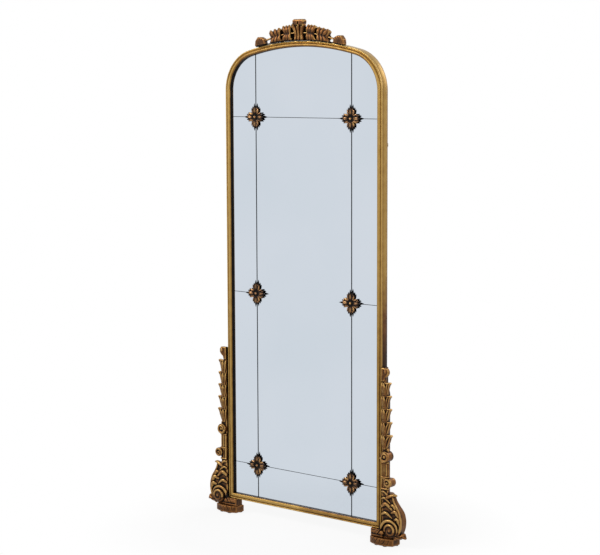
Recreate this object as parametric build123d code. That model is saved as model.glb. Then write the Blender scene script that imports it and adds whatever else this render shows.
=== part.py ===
from build123d import *
import math
import os

# Arched floor mirror with twelve plates, carved crest and scroll feet.
# Millimetres, Z up, front towards -Y, origin on the floor under the middle.

# Overall sizes
OVERALL_HEIGHT = 1848.0
FRAME_WIDTH = 721.0
FRAME_DEPTH = 38.0
FRAME_BOTTOM = 56.0
CREST_HEIGHT = 76.0

# Arch: small corner arcs running into one flat crown arc
ARCH_RISE = 176.5
CORNER_RADIUS = 150.0

# Frame moulding
FACE_WIDTH = 21.0
BEAD_WIDTH = 13.0
BEAD_HEIGHT = 4.5
QUIRK_WIDTH = 3.0
QUIRK_DEPTH = 6.5
EDGE_DEPTH = 9.5
SIDE_GROOVE = 1.4
BAND_SET_BACK = 0.4
REBATE_WIDTH = 7.0
GLASS_SEAT = 13.0
BEAD_FLATS = 4
EDGE_FLATS = 2

# Mirror plates
GLASS_THICKNESS = 5.0
GLASS_LAP = 5.5
SIDE_COLUMN = 139.5
BOTTOM_ROW = 144.0
TOP_ROW_BELOW_SPRING = 96.0
UPRIGHT_SEAM = 4.5
LEVEL_SEAM = 2.0
CORNER_NOTCH = 5.0
BOARD_THICKNESS = 6.0
BOARD_LAP = 5.5
BLOCK_LENGTH = 30.0
BLOCK_OFFSET = 60.0

# Rosettes and their bolts
ROSETTE_REACH = 48.0
PETAL_ROOT = (6.0, 4.0)
PETAL_LOBE = (29.0, 16.5)
PETAL_NOTCH = (30.5, 8.5)
PETAL_MIDDLE = 22.0
PETAL_HEIGHT = 5.0
PETAL_CROWN = 0.55
PETAL_LIFT = 8.0
ROSETTE_HUB = 11.0
HUB_HEIGHT = 8.0
BOLT_BEAD = 5.0
BEAD_SIDES = 8
BEAD_RISES = (0, 35, 65)
BOLT_RADIUS = 2.0
BOLT_SPARE = 1.5
NUT_WIDTH = 7.0
NUT_HEIGHT = 3.2
WASHER_RADIUS = 6.0
WASHER_HEIGHT = 1.0

# Crest
CREST_FRONT = -14.0
CREST_BACK = 9.0
CREST_SPAN = 207.0
KNOB_HALF = 24.0
KNOB_HEIGHT = 24.0
STEM_WAIST = 11.0
STEM_FOOT = 22.0
STEM_SINK = 6.0
STEM_SET_BACK = 2.0
STEM_FLUTE = 3.0
KNOB_NECK = 14.5
KNOB_SHOULDER = 18.0
KNOB_ROUND = 7.5
MIDRIB_HEIGHT = 28.0
MIDRIB_WIDTH = 9.0
MIDRIB_FALL = 0.001
MIDRIB_START = 8.0
MIDRIB_END = 164.0
MIDRIB_STEPS = 6
MIDRIB_SET_BACK = 6.0
LEAF_WIDTH = 21.0
LEAF_ANGLE = 64.0
LEAF_RIDGE = 6.0
LEAF_SET_BACK = 8.0
LEAF_PLACES = (27.0, 44.0, 61.0, 83.0, 101.0, 119.0)
UPPER_LEAVES = (33.0, 33.0, 31.0, 31.0, 29.0, 25.0)
LOWER_LEAVES = (34.0, 34.0, 34.0, 35.0, 33.0, 30.0)
BUD_START = 152.0
BUD_RADIUS = 22.0
BUD_LEVEL = -4.0

# Side pilasters, measured outwards from the stile
PILASTER_FRONT = -7.0
PILASTER_BACK = 11.0
PILASTER_GAP = 4.0
PILASTER_WIDTH = 31.0
PILASTER_TOP = 637.0
BUD_CAP_RADIUS = 16.0
HUSK_COUNT = 5
HUSK_TOP = 577.0
HUSK_PITCH = 46.5
HUSK_REACH = 42.0
HUSK_GROWTH = 1.4
HUSK_RIM = 7.0
HUSK_RIDGE = 5.5
HUSK_LEAF = 24.0
HUSK_LIP = 3.0
HUSK_POINT = 9.0
HUSK_SET_BACK = 3.0
VOLUTE_HEIGHT = 317.0
VOLUTE_OUT = 30.0
VOLUTE_RADIUS = 20.0
VOLUTE_RIM = 4.0
VOLUTE_BAND = 0.24
VOLUTE_TURNS = 3
VOLUTE_SIDES = 10
SHAFT_FLUTE = 2.5
RIB_WIDTH = 18.0
RIB_BACK = 32.0

# Scroll feet, measured outwards from the stile
FOOT_TOP = 245.0
FOOT_FRONT = -4.0
FOOT_BACK = 30.0
LOWER_SCROLL_OUT = 40.0
LOWER_SCROLL_HEIGHT = 226.0
LOWER_SCROLL_RADIUS = 17.5
LOWER_SCROLL_FRONT = -13.0
LOWER_SCROLL_DEPTH = 29.0
LIP_OUT = 64.0
LIP_HEIGHT = 188.0
BULGE_OUT = 92.0
BULGE_HEIGHT = 94.0
BIG_VOLUTE_OUT = 46.0
BIG_VOLUTE_HEIGHT = 62.0
BIG_VOLUTE_RADIUS = 27.0
TOE_OUT = 107.0
TOE_HEIGHT = 43.0
TOE_RADIUS = 9.5
SHELF_IN = 41.0
SHELF_FRONT = -9.0
FOOT_LEAVES = (60.0, 49.0, 38.0, 27.0)
FOOT_LEAF_STEP = 24.0
FOOT_LEAF_WIDTH = 20.0
FOOT_LEAF_RIDGE = 7.5
FOOT_LEAF_TILT = 34.0
FOOT_LEAF_TURN = -6.0
FOOT_LEAF_OUT = 12.0

# Plinths and pads
PLINTH_TOP = 28.0
PLINTH_IN = 45.0
PLINTH_OUT = 58.5
PLINTH_END = -6.0
PLINTH_BOW = -20.0
PLINTH_BACK = 36.0
PLINTH_CHAMFER = 3.0
PAD_HEIGHT = 2.0
PAD_RADIUS = 9.0
PAD_INSET = 1.0
PAD_SIDES = 6
PAD_SPREAD = 18.0
PAD_FRONT = -7.0

# Swell of a leaf: share of its length and share of its width there
LEAF_SWELL = ((0, 0.45), (0.45, 1.0), (1.0, 0.08))

# Fixings
FIT = 0.05
SEAT = 0.2
DOWEL_RADIUS = 4.0
DOWEL_LENGTH = 40.0
SMALL_DOWEL_RADIUS = 3.5
SMALL_DOWEL_LENGTH = 24.0
DOWEL_DEPTH = 22.0
FASTENER_SIDES = 6
SCREW_RADIUS = 1.6
SCREW_LENGTH = 13.0
SCREW_HEAD_RADIUS = 3.2
SCREW_HEAD_HEIGHT = 1.8
CLIP_WIDTH = 14.0
CLIP_THICKNESS = 1.2
CLIP_TOE = 8.0
CLIP_X = 120.0
CLIP_MARGIN = 3.0
CLIP_LEVELS = (0.2, 0.9)
BRACE_LENGTH = 62.0
BRACE_WIDTH = 10.0
BRACE_THICKNESS = 1.5
BRACE_INSET = 2.5
BRACE_STEPS = (0.28, 0.72)
ANGLE_X = 90.0
ANGLE_WIDTH = 14.0
ANGLE_LENGTH = 22.0
ANGLE_THICKNESS = 1.5
ANGLE_HOLE = 14.0

# Swinging hangers
HANGER_DROP = 180.0
STRAP_WIDTH = 9.0
STRAP_LENGTH = 32.0
STRAP_THICKNESS = 1.2
RING_WIRE = 1.5
RING_WIDTH = 13.0
RING_DROP = 14.0
RING_CORNER = 2.0
RING_BENDS = 4
RING_SIDES = 12
RING_FIT = 0.08
KNUCKLE_LENGTH = 8.0

# Sizes that follow
HALF_WIDTH = FRAME_WIDTH / 2
CROWN_HEIGHT = OVERALL_HEIGHT - CREST_HEIGHT
SPRING_HEIGHT = CROWN_HEIGHT - ARCH_RISE
CORNER_X = HALF_WIDTH - CORNER_RADIUS
CROWN_RADIUS = (CORNER_X**2 + ARCH_RISE**2 - CORNER_RADIUS**2) / (2 * (ARCH_RISE - CORNER_RADIUS))
CROWN_CENTRE = CROWN_HEIGHT - CROWN_RADIUS
CROWN_HALF_ANGLE = math.degrees(math.asin(CORNER_X / (CROWN_RADIUS - CORNER_RADIUS)))
SIGHT_X = HALF_WIDTH - FACE_WIDTH
BOARD_FRONT = GLASS_SEAT + GLASS_THICKNESS
BOARD_BACK = BOARD_FRONT + BOARD_THICKNESS
FLANGE_U = (REBATE_WIDTH + FACE_WIDTH) / 2
SEAM_X = HALF_WIDTH - SIDE_COLUMN
SEAM_LOW = FRAME_BOTTOM + BOTTOM_ROW
SEAM_HIGH = SPRING_HEIGHT - TOP_ROW_BELOW_SPRING
SEAM_MID = (SEAM_LOW + SEAM_HIGH) / 2
HANGER_HEIGHT = SPRING_HEIGHT - HANGER_DROP
KNUCKLE_RADIUS = RING_WIRE + RING_FIT + STRAP_THICKNESS
Y_FRONT = -(FRAME_DEPTH + 2 * KNUCKLE_RADIUS + PLINTH_BOW) / 2
SIDES = {"left": -1, "right": 1}
LEVELS = {"top": SEAM_HIGH, "middle": SEAM_MID, "bottom": SEAM_LOW}


def outline(points):
    """Closed flat face through the given points."""
    return make_face(Polyline(*points, close=True))


def upright(face, front, back):
    """Stand a flat face up in the X-Z plane, thick from front to back."""
    return Pos(0, back, 0) * (Rot(90, 0, 0) * extrude(face, back - front))


def both_sides(shape):
    """The shape and its mirror image across the middle."""
    return {"right": shape, "left": mirror(shape, about=Plane.YZ)}


def prism_along(point, direction, radius, length):
    """Many-sided bar for small fasteners and their holes."""
    return Plane(origin=point, z_dir=direction) * extrude(RegularPolygon(radius, FASTENER_SIDES), length)


def faceted(rings):
    """Solid with flat faces through rings of points, one ring after the other."""
    faces = [outline(rings[0]), outline(rings[-1])]
    for low, high in zip(rings, rings[1:]):
        for k in range(len(low)):
            faces.append(outline([low[k - 1], low[k], high[k], high[k - 1]]))
    return Solid(Shell(faces))


def leaflet(length, width, ridge, thickness=0):
    """Leaf blade along +X with a raised midrib, thin at its edges unless it has a thickness."""
    rings = []
    for along, share in LEAF_SWELL:
        x = length * along
        half = width * share / 2
        ring = [(x, -half, 0), (x, half, 0), (x, 0, thickness + ridge * share)]
        if thickness:
            ring.insert(2, (x, half, thickness))
            ring.append((x, -half, thickness))
        rings.append(ring)
    return faceted(rings)


def screw(point, direction):
    """Pan-head screw: head above the point, shank along the direction."""
    shank = prism_along(point, direction, SCREW_RADIUS, SCREW_LENGTH)
    upward = tuple(-v for v in direction)
    head = prism_along(point, upward, SCREW_HEAD_RADIUS, SCREW_HEAD_HEIGHT)
    return shank + head


def pilot(point, direction):
    """Hole that takes a screw's shank."""
    return prism_along(point, direction, SCREW_RADIUS + FIT, SCREW_LENGTH + 1)


# Frame

def round_over(start, width, rise, flats):
    """Points of a half-oval bead from start to start + width, tool-cut in flats."""
    middle = start + width / 2
    angles = [math.pi * k / flats for k in range(flats + 1)]
    return [(middle - width / 2 * math.cos(a), BEAD_HEIGHT - rise * math.sin(a)) for a in angles]


def moulding():
    """Frame section: sight edge on the Y axis, outward along +X, depth along +Y."""
    quirk_end = BEAD_WIDTH + QUIRK_WIDTH
    edge_width = FACE_WIDTH - quirk_end
    band = FACE_WIDTH - BAND_SET_BACK
    groove_y = EDGE_DEPTH + SIDE_GROOVE
    points = round_over(0, BEAD_WIDTH, BEAD_HEIGHT, BEAD_FLATS)
    points.append((BEAD_WIDTH + QUIRK_WIDTH / 2, QUIRK_DEPTH))
    points += round_over(quirk_end, edge_width, edge_width / 2, EDGE_FLATS)
    points += [
        (FACE_WIDTH, EDGE_DEPTH),
        (FACE_WIDTH - SIDE_GROOVE, groove_y),
        (band, groove_y + SIDE_GROOVE),
        (band, FRAME_DEPTH),
        (REBATE_WIDTH, FRAME_DEPTH),
        (REBATE_WIDTH, GLASS_SEAT),
        (0, GLASS_SEAT),
    ]
    return outline(points)


def mitre_plane():
    """Mitre of the right bottom corner, normal towards the stile."""
    return Plane(origin=(HALF_WIDTH, 0, FRAME_BOTTOM), z_dir=(1, 0, 1))


def raw_stile():
    bar = Pos(SIGHT_X, 0, FRAME_BOTTOM) * extrude(moulding(), SPRING_HEIGHT - FRAME_BOTTOM)
    return split(bar, bisect_by=mitre_plane(), keep=Keep.TOP)


def raw_rail():
    section = Plane(origin=(0, 0, FRAME_BOTTOM + FACE_WIDTH), x_dir=(0, 0, -1), z_dir=(1, 0, 0))
    half = split(extrude(section * moulding(), HALF_WIDTH), bisect_by=mitre_plane(), keep=Keep.BOTTOM)
    return half + mirror(half, about=Plane.YZ)


def raw_head():
    corner_axis = Axis((CORNER_X, 0, SPRING_HEIGHT), (0, -1, 0))
    start = Pos(SIGHT_X, 0, SPRING_HEIGHT) * moulding()
    corner = revolve(start, corner_axis, 90 - CROWN_HALF_ANGLE)
    crown_axis = Axis((0, 0, CROWN_CENTRE), (0, -1, 0))
    crown_start = Pos(CROWN_RADIUS - FACE_WIDTH, 0, CROWN_CENTRE) * moulding()
    crown_start = crown_start.rotate(crown_axis, 90 - CROWN_HALF_ANGLE)
    crown = revolve(crown_start, crown_axis, 2 * CROWN_HALF_ANGLE)
    return corner + crown + mirror(corner, about=Plane.YZ)


def arch_face(grow):
    """Sight opening grown outwards, as a flat face in X and height."""
    half = SIGHT_X + grow
    foot = FRAME_BOTTOM + FACE_WIDTH - grow
    corner = CORNER_RADIUS - FACE_WIDTH + grow
    crown = CROWN_RADIUS - FACE_WIDTH + grow
    turn = 90 - CROWN_HALF_ANGLE
    edges = [
        Line((-half, foot), (half, foot)),
        Line((half, foot), (half, SPRING_HEIGHT)),
        CenterArc((CORNER_X, SPRING_HEIGHT), corner, 0, turn),
        CenterArc((0, CROWN_CENTRE), crown, turn, 2 * CROWN_HALF_ANGLE),
        CenterArc((-CORNER_X, SPRING_HEIGHT), corner, 180 - turn, turn),
        Line((-half, SPRING_HEIGHT), (-half, foot)),
    ]
    return make_face([e for line in edges for e in line.edges()])


def head_dowels():
    """Upright dowels across the two joints between head and stiles."""
    x = SIGHT_X + FLANGE_U
    low = SPRING_HEIGHT - DOWEL_LENGTH / 2
    return [prism_along((s * x, DOWEL_DEPTH, low), (0, 0, 1), DOWEL_RADIUS, DOWEL_LENGTH) for s in (-1, 1)]


def head_dowel_holes():
    x = SIGHT_X + FLANGE_U
    low = SPRING_HEIGHT - DOWEL_LENGTH / 2 - 1
    length = DOWEL_LENGTH + 2
    return [prism_along((s * x, DOWEL_DEPTH, low), (0, 0, 1), DOWEL_RADIUS + FIT, length) for s in (-1, 1)]


# Mirror plates and backing

def panes():
    """Twelve plates: three columns by four rows, corners notched for the bolts."""
    sheet = upright(arch_face(GLASS_LAP), GLASS_SEAT, BOARD_FRONT)
    gap_x = UPRIGHT_SEAM / 2
    gap_z = LEVEL_SEAM / 2
    far = HALF_WIDTH + 10
    columns = {
        "left": (-far, -SEAM_X - gap_x),
        "centre": (-SEAM_X + gap_x, SEAM_X - gap_x),
        "right": (SEAM_X + gap_x, far),
    }
    rows = {
        "bottom": (0, SEAM_LOW - gap_z),
        "lower": (SEAM_LOW + gap_z, SEAM_MID - gap_z),
        "upper": (SEAM_MID + gap_z, SEAM_HIGH - gap_z),
        "top": (SEAM_HIGH + gap_z, OVERALL_HEIGHT),
    }
    for x, z in bolt_places():
        sheet -= prism_along((x, 0, z), (0, 1, 0), CORNER_NOTCH, FRAME_DEPTH)
    found = {}
    for row, (z0, z1) in rows.items():
        for column, (x0, x1) in columns.items():
            cell = Pos((x0 + x1) / 2, 0, (z0 + z1) / 2) * Box(x1 - x0, 4 * FRAME_DEPTH, z1 - z0)
            found[f"pane_{row}_{column}"] = sheet & cell
    return found


def bolt_places():
    return [(s * SEAM_X, z) for z in LEVELS.values() for s in (-1, 1)]


def backing_board():
    board = upright(arch_face(BOARD_LAP), BOARD_FRONT, BOARD_BACK)
    for x, z in bolt_places():
        board -= on_glass(bolt_hole(), x, z)
    return board


def setting_blocks():
    """Rubber blocks that carry the bottom plates in the rail's rebate."""
    floor = FRAME_BOTTOM + FACE_WIDTH - REBATE_WIDTH
    height = REBATE_WIDTH - GLASS_LAP
    depth = GLASS_THICKNESS + BOARD_THICKNESS - 2 * SEAT
    middle = GLASS_SEAT + SEAT + depth / 2
    block = Pos(0, middle, floor + height / 2) * Box(BLOCK_LENGTH, depth, height)
    places = [-SEAM_X - BLOCK_OFFSET, -SEAM_X / 2, SEAM_X / 2, SEAM_X + BLOCK_OFFSET]
    return [Pos(x, 0, 0) * block for x in places]


# Clips that hold the board, and their screws

def clip_at_right():
    """Stepped steel clip on the back of the right stile, at height zero."""
    outer = SIGHT_X + FACE_WIDTH - CLIP_MARGIN
    wall = SIGHT_X + REBATE_WIDTH - SEAT
    toe = wall - CLIP_TOE
    top = FRAME_DEPTH + CLIP_THICKNESS
    points = [
        (outer, FRAME_DEPTH),
        (outer, top),
        (wall - CLIP_THICKNESS, top),
        (wall - CLIP_THICKNESS, BOARD_BACK + CLIP_THICKNESS),
        (toe, BOARD_BACK + CLIP_THICKNESS),
        (toe, BOARD_BACK),
        (wall, BOARD_BACK),
        (wall, FRAME_DEPTH),
    ]
    strip = Pos(0, 0, -CLIP_WIDTH / 2) * extrude(outline(points), CLIP_WIDTH)
    return strip - pilot(clip_screw_place(), (0, -1, 0))


def clip_moves():
    """Moves that carry the right-stile clip to each of its places."""
    reach = HANGER_HEIGHT - RING_DROP - 2 * CLIP_WIDTH - SEAM_LOW
    heights = [SEAM_LOW + reach * share for share in CLIP_LEVELS]
    moves = [Pos(0, 0, z) for z in heights]
    moves += [Pos(0, 0, z) * Rot(0, 180, 0) for z in heights]
    rail = FRAME_BOTTOM + HALF_WIDTH
    moves += [Pos(x, 0, rail) * Rot(0, 90, 0) for x in (-CLIP_X, CLIP_X)]
    angle = math.degrees(math.asin(CLIP_X / CROWN_RADIUS))
    lift = Pos(CROWN_RADIUS - HALF_WIDTH, 0, 0)
    crown = Pos(0, 0, CROWN_CENTRE)
    moves += [crown * Rot(0, turn, 0) * lift for turn in (-90 - angle, -90 + angle)]
    return moves


def clip_screw_place():
    return (SIGHT_X + FLANGE_U, FRAME_DEPTH + CLIP_THICKNESS, 0)


# Corner braces behind the bottom mitres

def brace_screw_places():
    x = HALF_WIDTH - BRACE_INSET - BRACE_WIDTH / 2
    z = FRAME_BOTTOM + BRACE_INSET + BRACE_WIDTH / 2
    y = FRAME_DEPTH + BRACE_THICKNESS
    upright_leg = [(x, y, z + BRACE_LENGTH * step) for step in BRACE_STEPS]
    level_leg = [(x - BRACE_LENGTH * step, y, z) for step in BRACE_STEPS]
    return upright_leg + level_leg


def corner_brace():
    """Right-hand flat steel angle with four screw holes."""
    x = HALF_WIDTH - BRACE_INSET
    z = FRAME_BOTTOM + BRACE_INSET
    points = [
        (x, z),
        (x, z + BRACE_LENGTH),
        (x - BRACE_WIDTH, z + BRACE_LENGTH),
        (x - BRACE_WIDTH, z + BRACE_WIDTH),
        (x - BRACE_LENGTH, z + BRACE_WIDTH),
        (x - BRACE_LENGTH, z),
    ]
    plate = upright(outline(points), FRAME_DEPTH, FRAME_DEPTH + BRACE_THICKNESS)
    for place in brace_screw_places():
        plate -= pilot(place, (0, -1, 0))
    return plate


# Rosettes

def rosette():
    """Four three-lobed petals that rise from a hub, made on X-Y with relief along +Z."""
    flower = extrude(RegularPolygon(ROSETTE_HUB, BEAD_SIDES), HUB_HEIGHT)
    half = [PETAL_ROOT, PETAL_LOBE, PETAL_NOTCH]
    leaf = half + [(ROSETTE_REACH, 0)] + [(x, -y) for x, y in reversed(half)]
    foot = [(x, y, 0) for x, y in leaf]
    shift = PETAL_MIDDLE * (1 - PETAL_CROWN)
    crown = [(shift + PETAL_CROWN * x, PETAL_CROWN * y, PETAL_HEIGHT) for x, y in leaf]
    petal = Rot(0, -PETAL_LIFT, 0) * faceted([foot, crown])
    for quarter in range(4):
        flower += Rot(0, 0, 90 * quarter) * petal
    return flower - bolt_hole()


def bolt_hole():
    """Clearance hole for a rosette's bolt through everything it holds."""
    return prism_along((0, 0, -FRAME_DEPTH), (0, 0, 1), BOLT_RADIUS + FIT, 2 * FRAME_DEPTH)


def rosette_bolt():
    """Bolt with a round bead for a head, standing on the hub."""
    rings = []
    for rise in BEAD_RISES:
        radius = BOLT_BEAD * math.cos(math.radians(rise))
        z = BOLT_BEAD * math.sin(math.radians(rise))
        turns = [2 * math.pi * k / BEAD_SIDES for k in range(BEAD_SIDES)]
        rings.append([(radius * math.cos(a), radius * math.sin(a), z) for a in turns])
    length = HUB_HEIGHT + BOARD_BACK - GLASS_SEAT + WASHER_HEIGHT + NUT_HEIGHT + BOLT_SPARE
    shank = prism_along((0, 0, -length), (0, 0, 1), BOLT_RADIUS, length)
    return Pos(0, 0, HUB_HEIGHT) * (faceted(rings) + shank)


def rosette_nut():
    """Hexagon nut with its washer behind the board."""
    back = GLASS_SEAT - BOARD_BACK
    washer = extrude(RegularPolygon(WASHER_RADIUS, FASTENER_SIDES), -WASHER_HEIGHT)
    hexagon = RegularPolygon(NUT_WIDTH / 2, 6, major_radius=False)
    nut = Pos(0, 0, -WASHER_HEIGHT) * extrude(hexagon, -NUT_HEIGHT)
    return Pos(0, 0, back) * (washer + nut - bolt_hole())


def on_glass(shape, x, z):
    """Stand a flat-made shape on the front of the glass."""
    return Pos(x, GLASS_SEAT, z) * (Rot(90, 0, 0) * shape)


# Crest, made flat on X and height above the crown, relief towards the front

def midrib_at(x):
    return MIDRIB_HEIGHT - MIDRIB_FALL * x * x


def above_arch(shape):
    """Trim a flat-made crest part to sit on the crown of the arch."""
    seat = extrude(Circle(CROWN_RADIUS + SEAT), 4 * FRAME_DEPTH, both=True)
    return shape - Pos(0, -CROWN_RADIUS, 0) * seat


def crest_stem():
    """Flared knob on a fluted stem that spreads to a foot on the arch."""
    top = CREST_HEIGHT
    low = top - KNOB_HEIGHT
    depth = CREST_BACK - CREST_FRONT
    right_half = [
        (KNOB_NECK, low), (KNOB_HALF, low + KNOB_ROUND), (KNOB_HALF, top - KNOB_ROUND), (KNOB_SHOULDER, top)]
    knob = outline(right_half + [(-x, z) for x, z in reversed(right_half)])
    neck = low + STEM_FLUTE
    right = ThreePointArc((KNOB_NECK, neck), (STEM_WAIST, low * 0.72), (STEM_FOOT, -STEM_SINK))
    left = ThreePointArc((-STEM_FOOT, -STEM_SINK), (-STEM_WAIST, low * 0.72), (-KNOB_NECK, neck))
    foot = Line((STEM_FOOT, -STEM_SINK), (-STEM_FOOT, -STEM_SINK))
    top_line = Line((-KNOB_NECK, neck), (KNOB_NECK, neck))
    thick = depth - STEM_SET_BACK
    stem = extrude(make_face(right.edges() + foot.edges() + left.edges() + top_line.edges()), thick)
    for x in (-STEM_WAIST / 2, 0, STEM_WAIST / 2):
        stem -= Pos(x, 0, thick) * Rot(0, 45, 0) * Box(STEM_FLUTE, 2 * low, STEM_FLUTE)
    return extrude(knob, depth) + stem


def crest_spray():
    """Right-hand leaf spray: midrib, upper and lower leaflets, closing bud."""
    depth = CREST_BACK - CREST_FRONT
    half = MIDRIB_WIDTH / 2
    pitch = (MIDRIB_END - MIDRIB_START) / MIDRIB_STEPS
    steps = [MIDRIB_START + pitch * k for k in range(MIDRIB_STEPS + 1)]
    upper = [(x, midrib_at(x) + half) for x in steps]
    lower = [(x, midrib_at(x) - half) for x in reversed(steps)]
    spray = extrude(outline(upper + lower), depth - MIDRIB_SET_BACK)
    for x, up, down in zip(LEAF_PLACES, UPPER_LEAVES, LOWER_LEAVES):
        for angle, length in ((LEAF_ANGLE, up), (-LEAF_ANGLE, down)):
            blade = leaflet(length, LEAF_WIDTH, LEAF_RIDGE, depth - LEAF_SET_BACK)
            spray += above_arch(Pos(x, midrib_at(x), 0) * Rot(0, 0, angle) * blade)
    return spray + above_arch(crest_bud())


def crest_bud():
    """Faceted bud that closes the spray and rests on the arch."""
    half = (CREST_SPAN - BUD_START) / 2
    depth = CREST_BACK - CREST_FRONT
    rim = ((-1, -0.3), (-1, 0.3), (-0.5, 0.9), (0.3, 1), (0.9, 0.4), (1, -0.45), (0.6, -1), (-0.6, -0.8))
    rings = []
    for level, share in ((0, 0.86), (0.5, 1.0), (1.0, 0.68)):
        z = depth * level
        rings.append([(half * share * x, BUD_RADIUS * share * y, z) for x, y in rim])
    return Pos(BUD_START + half, BUD_LEVEL, 0) * faceted(rings)


def crest():
    spray = crest_spray()
    flat = above_arch(crest_stem()) + spray + mirror(spray, about=Plane.YZ)
    return Pos(0, CREST_BACK, CROWN_HEIGHT) * (Rot(90, 0, 0) * flat)


def crest_angle():
    """Small steel angle behind the crest, at the middle of the crown."""
    base = CROWN_HEIGHT + FIT
    back = CREST_BACK
    t = ANGLE_THICKNESS
    points = [
        (back, base), (back + ANGLE_LENGTH, base), (back + ANGLE_LENGTH, base + t),
        (back + t, base + t), (back + t, base + ANGLE_LENGTH), (back, base + ANGLE_LENGTH),
    ]
    bar = extrude(Plane.YZ * outline(points), ANGLE_WIDTH / 2, both=True)
    for place, direction in crest_screw_places():
        bar -= pilot(place, direction)
    return bar


def crest_screw_places():
    base = CROWN_HEIGHT + FIT
    t = ANGLE_THICKNESS
    down = ((0, CREST_BACK + ANGLE_HOLE, base + t), (0, 0, -1))
    forward = ((0, CREST_BACK + t, base + ANGLE_HOLE), (0, -1, 0))
    return [down, forward]


def crown_moves():
    """Moves from the middle of the crown to the two places beside it."""
    angle = math.degrees(math.asin(ANGLE_X / CROWN_RADIUS))
    centre = Pos(0, 0, CROWN_CENTRE)
    return [centre * Rot(0, turn, 0) * Pos(0, 0, -CROWN_CENTRE) for turn in (-angle, angle)]


# Pilasters and feet, right-hand side, made in X from the stile and height

def volute(radius, height):
    """Round boss with a raised spiral band, relief along +Z."""
    boss = extrude(RegularPolygon(radius, VOLUTE_SIDES), height - VOLUTE_RIM)
    band = radius * VOLUTE_BAND
    outer = radius
    for turn in range(VOLUTE_TURNS):
        odd = turn % 2
        flat = RegularPolygon(outer, VOLUTE_SIDES) - RegularPolygon(outer - band, VOLUTE_SIDES)
        side = Pos(0, -radius if odd else radius, height / 2) * Box(4 * radius, 2 * radius, 2 * height)
        boss += Pos(band * odd, 0, 0) * (extrude(flat, height) & side)
        outer -= band
    return boss + extrude(RegularPolygon(radius * VOLUTE_BAND, VOLUTE_SIDES // 2), height)


def volute_front(out, level, radius, front, back):
    """A volute standing upright with its spiral at the front."""
    return Pos(out, back, level) * (Rot(90, 0, 0) * volute(radius, back - front))


def front_leaf(out, level, angle, length, width, front, ridge):
    """Leaf blade lying on an upright front face."""
    blade = Rot(90, 0, 0) * (Rot(0, 0, angle) * leaflet(length, width, ridge))
    return Pos(out, front, level) * blade


def husk(index):
    """One husk of the chain: pointed rim at the top, tapering down."""
    top = HUSK_TOP - HUSK_PITCH * index
    reach = HUSK_REACH + HUSK_GROWTH * index
    points = [
        (PILASTER_GAP, top - HUSK_LIP), (reach - HUSK_POINT, top - HUSK_LIP), (reach, top),
        (reach - HUSK_LIP, top - HUSK_RIM), (PILASTER_WIDTH + 2, top - HUSK_PITCH / 2),
        (PILASTER_WIDTH - 2, top - HUSK_PITCH), (PILASTER_GAP, top - HUSK_PITCH),
    ]
    body = upright(outline(points), PILASTER_FRONT, PILASTER_BACK - HUSK_SET_BACK)
    middle = (PILASTER_GAP + PILASTER_WIDTH) / 2
    return body + front_leaf(middle, top - 2, -90, HUSK_PITCH - 2, HUSK_LEAF, PILASTER_FRONT, HUSK_RIDGE)


def pilaster():
    """Husk chain with a bud on top, a volute and a fluted shaft below."""
    bottom = FOOT_TOP
    middle = (PILASTER_GAP + PILASTER_WIDTH) / 2
    cap_level = PILASTER_TOP - BUD_CAP_RADIUS
    strip = [
        (PILASTER_GAP, bottom), (PILASTER_WIDTH + 4, bottom), (PILASTER_WIDTH + 4, VOLUTE_HEIGHT),
        (PILASTER_WIDTH - 2, VOLUTE_HEIGHT + 20), (PILASTER_WIDTH - 8, cap_level), (PILASTER_GAP, cap_level),
    ]
    body = upright(outline(strip), PILASTER_FRONT, PILASTER_BACK)
    cap = Pos(middle, cap_level) * RegularPolygon(BUD_CAP_RADIUS, VOLUTE_SIDES)
    body += upright(cap, PILASTER_FRONT, PILASTER_BACK - HUSK_SET_BACK)
    for index in range(HUSK_COUNT):
        body += husk(index)
    body += volute_front(VOLUTE_OUT, VOLUTE_HEIGHT, VOLUTE_RADIUS, PILASTER_FRONT - 3, PILASTER_BACK - 2)
    shaft_top = VOLUTE_HEIGHT - VOLUTE_RADIUS - 3
    for out in (PILASTER_GAP + 10, PILASTER_WIDTH - 5):
        flute = Pos(out, PILASTER_FRONT, (bottom + shaft_top) / 2)
        body -= flute * Rot(0, 0, 45) * Box(SHAFT_FLUTE * 1.4, SHAFT_FLUTE * 1.4, shaft_top - bottom)
    rib_top = cap_level - 10
    rib_y = (PILASTER_BACK - 1 + RIB_BACK) / 2
    rib = Box(RIB_WIDTH - SEAT, RIB_BACK - PILASTER_BACK + 1, rib_top - bottom)
    return body + Pos((RIB_WIDTH + SEAT) / 2, rib_y, (rib_top + bottom) / 2) * rib


def foot_body():
    """S-shaped bracket body that bulges out over the plinth."""
    start = (PILASTER_WIDTH + 14, LIP_HEIGHT - 12)
    curve = Spline(
        start, (PILASTER_WIDTH + 27, 156), (BULGE_OUT - 15, 132), (BULGE_OUT, BULGE_HEIGHT),
        (BULGE_OUT - 6, 58), (BULGE_OUT - 24, PLINTH_TOP),
    )
    line = Polyline(
        (BULGE_OUT - 24, PLINTH_TOP), (PILASTER_GAP, PLINTH_TOP), (PILASTER_GAP, LIP_HEIGHT - 4),
        (PILASTER_WIDTH, LIP_HEIGHT - 4), start,
    )
    return upright(make_face(curve.edges() + line.edges()), FOOT_FRONT, FOOT_BACK)


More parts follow.
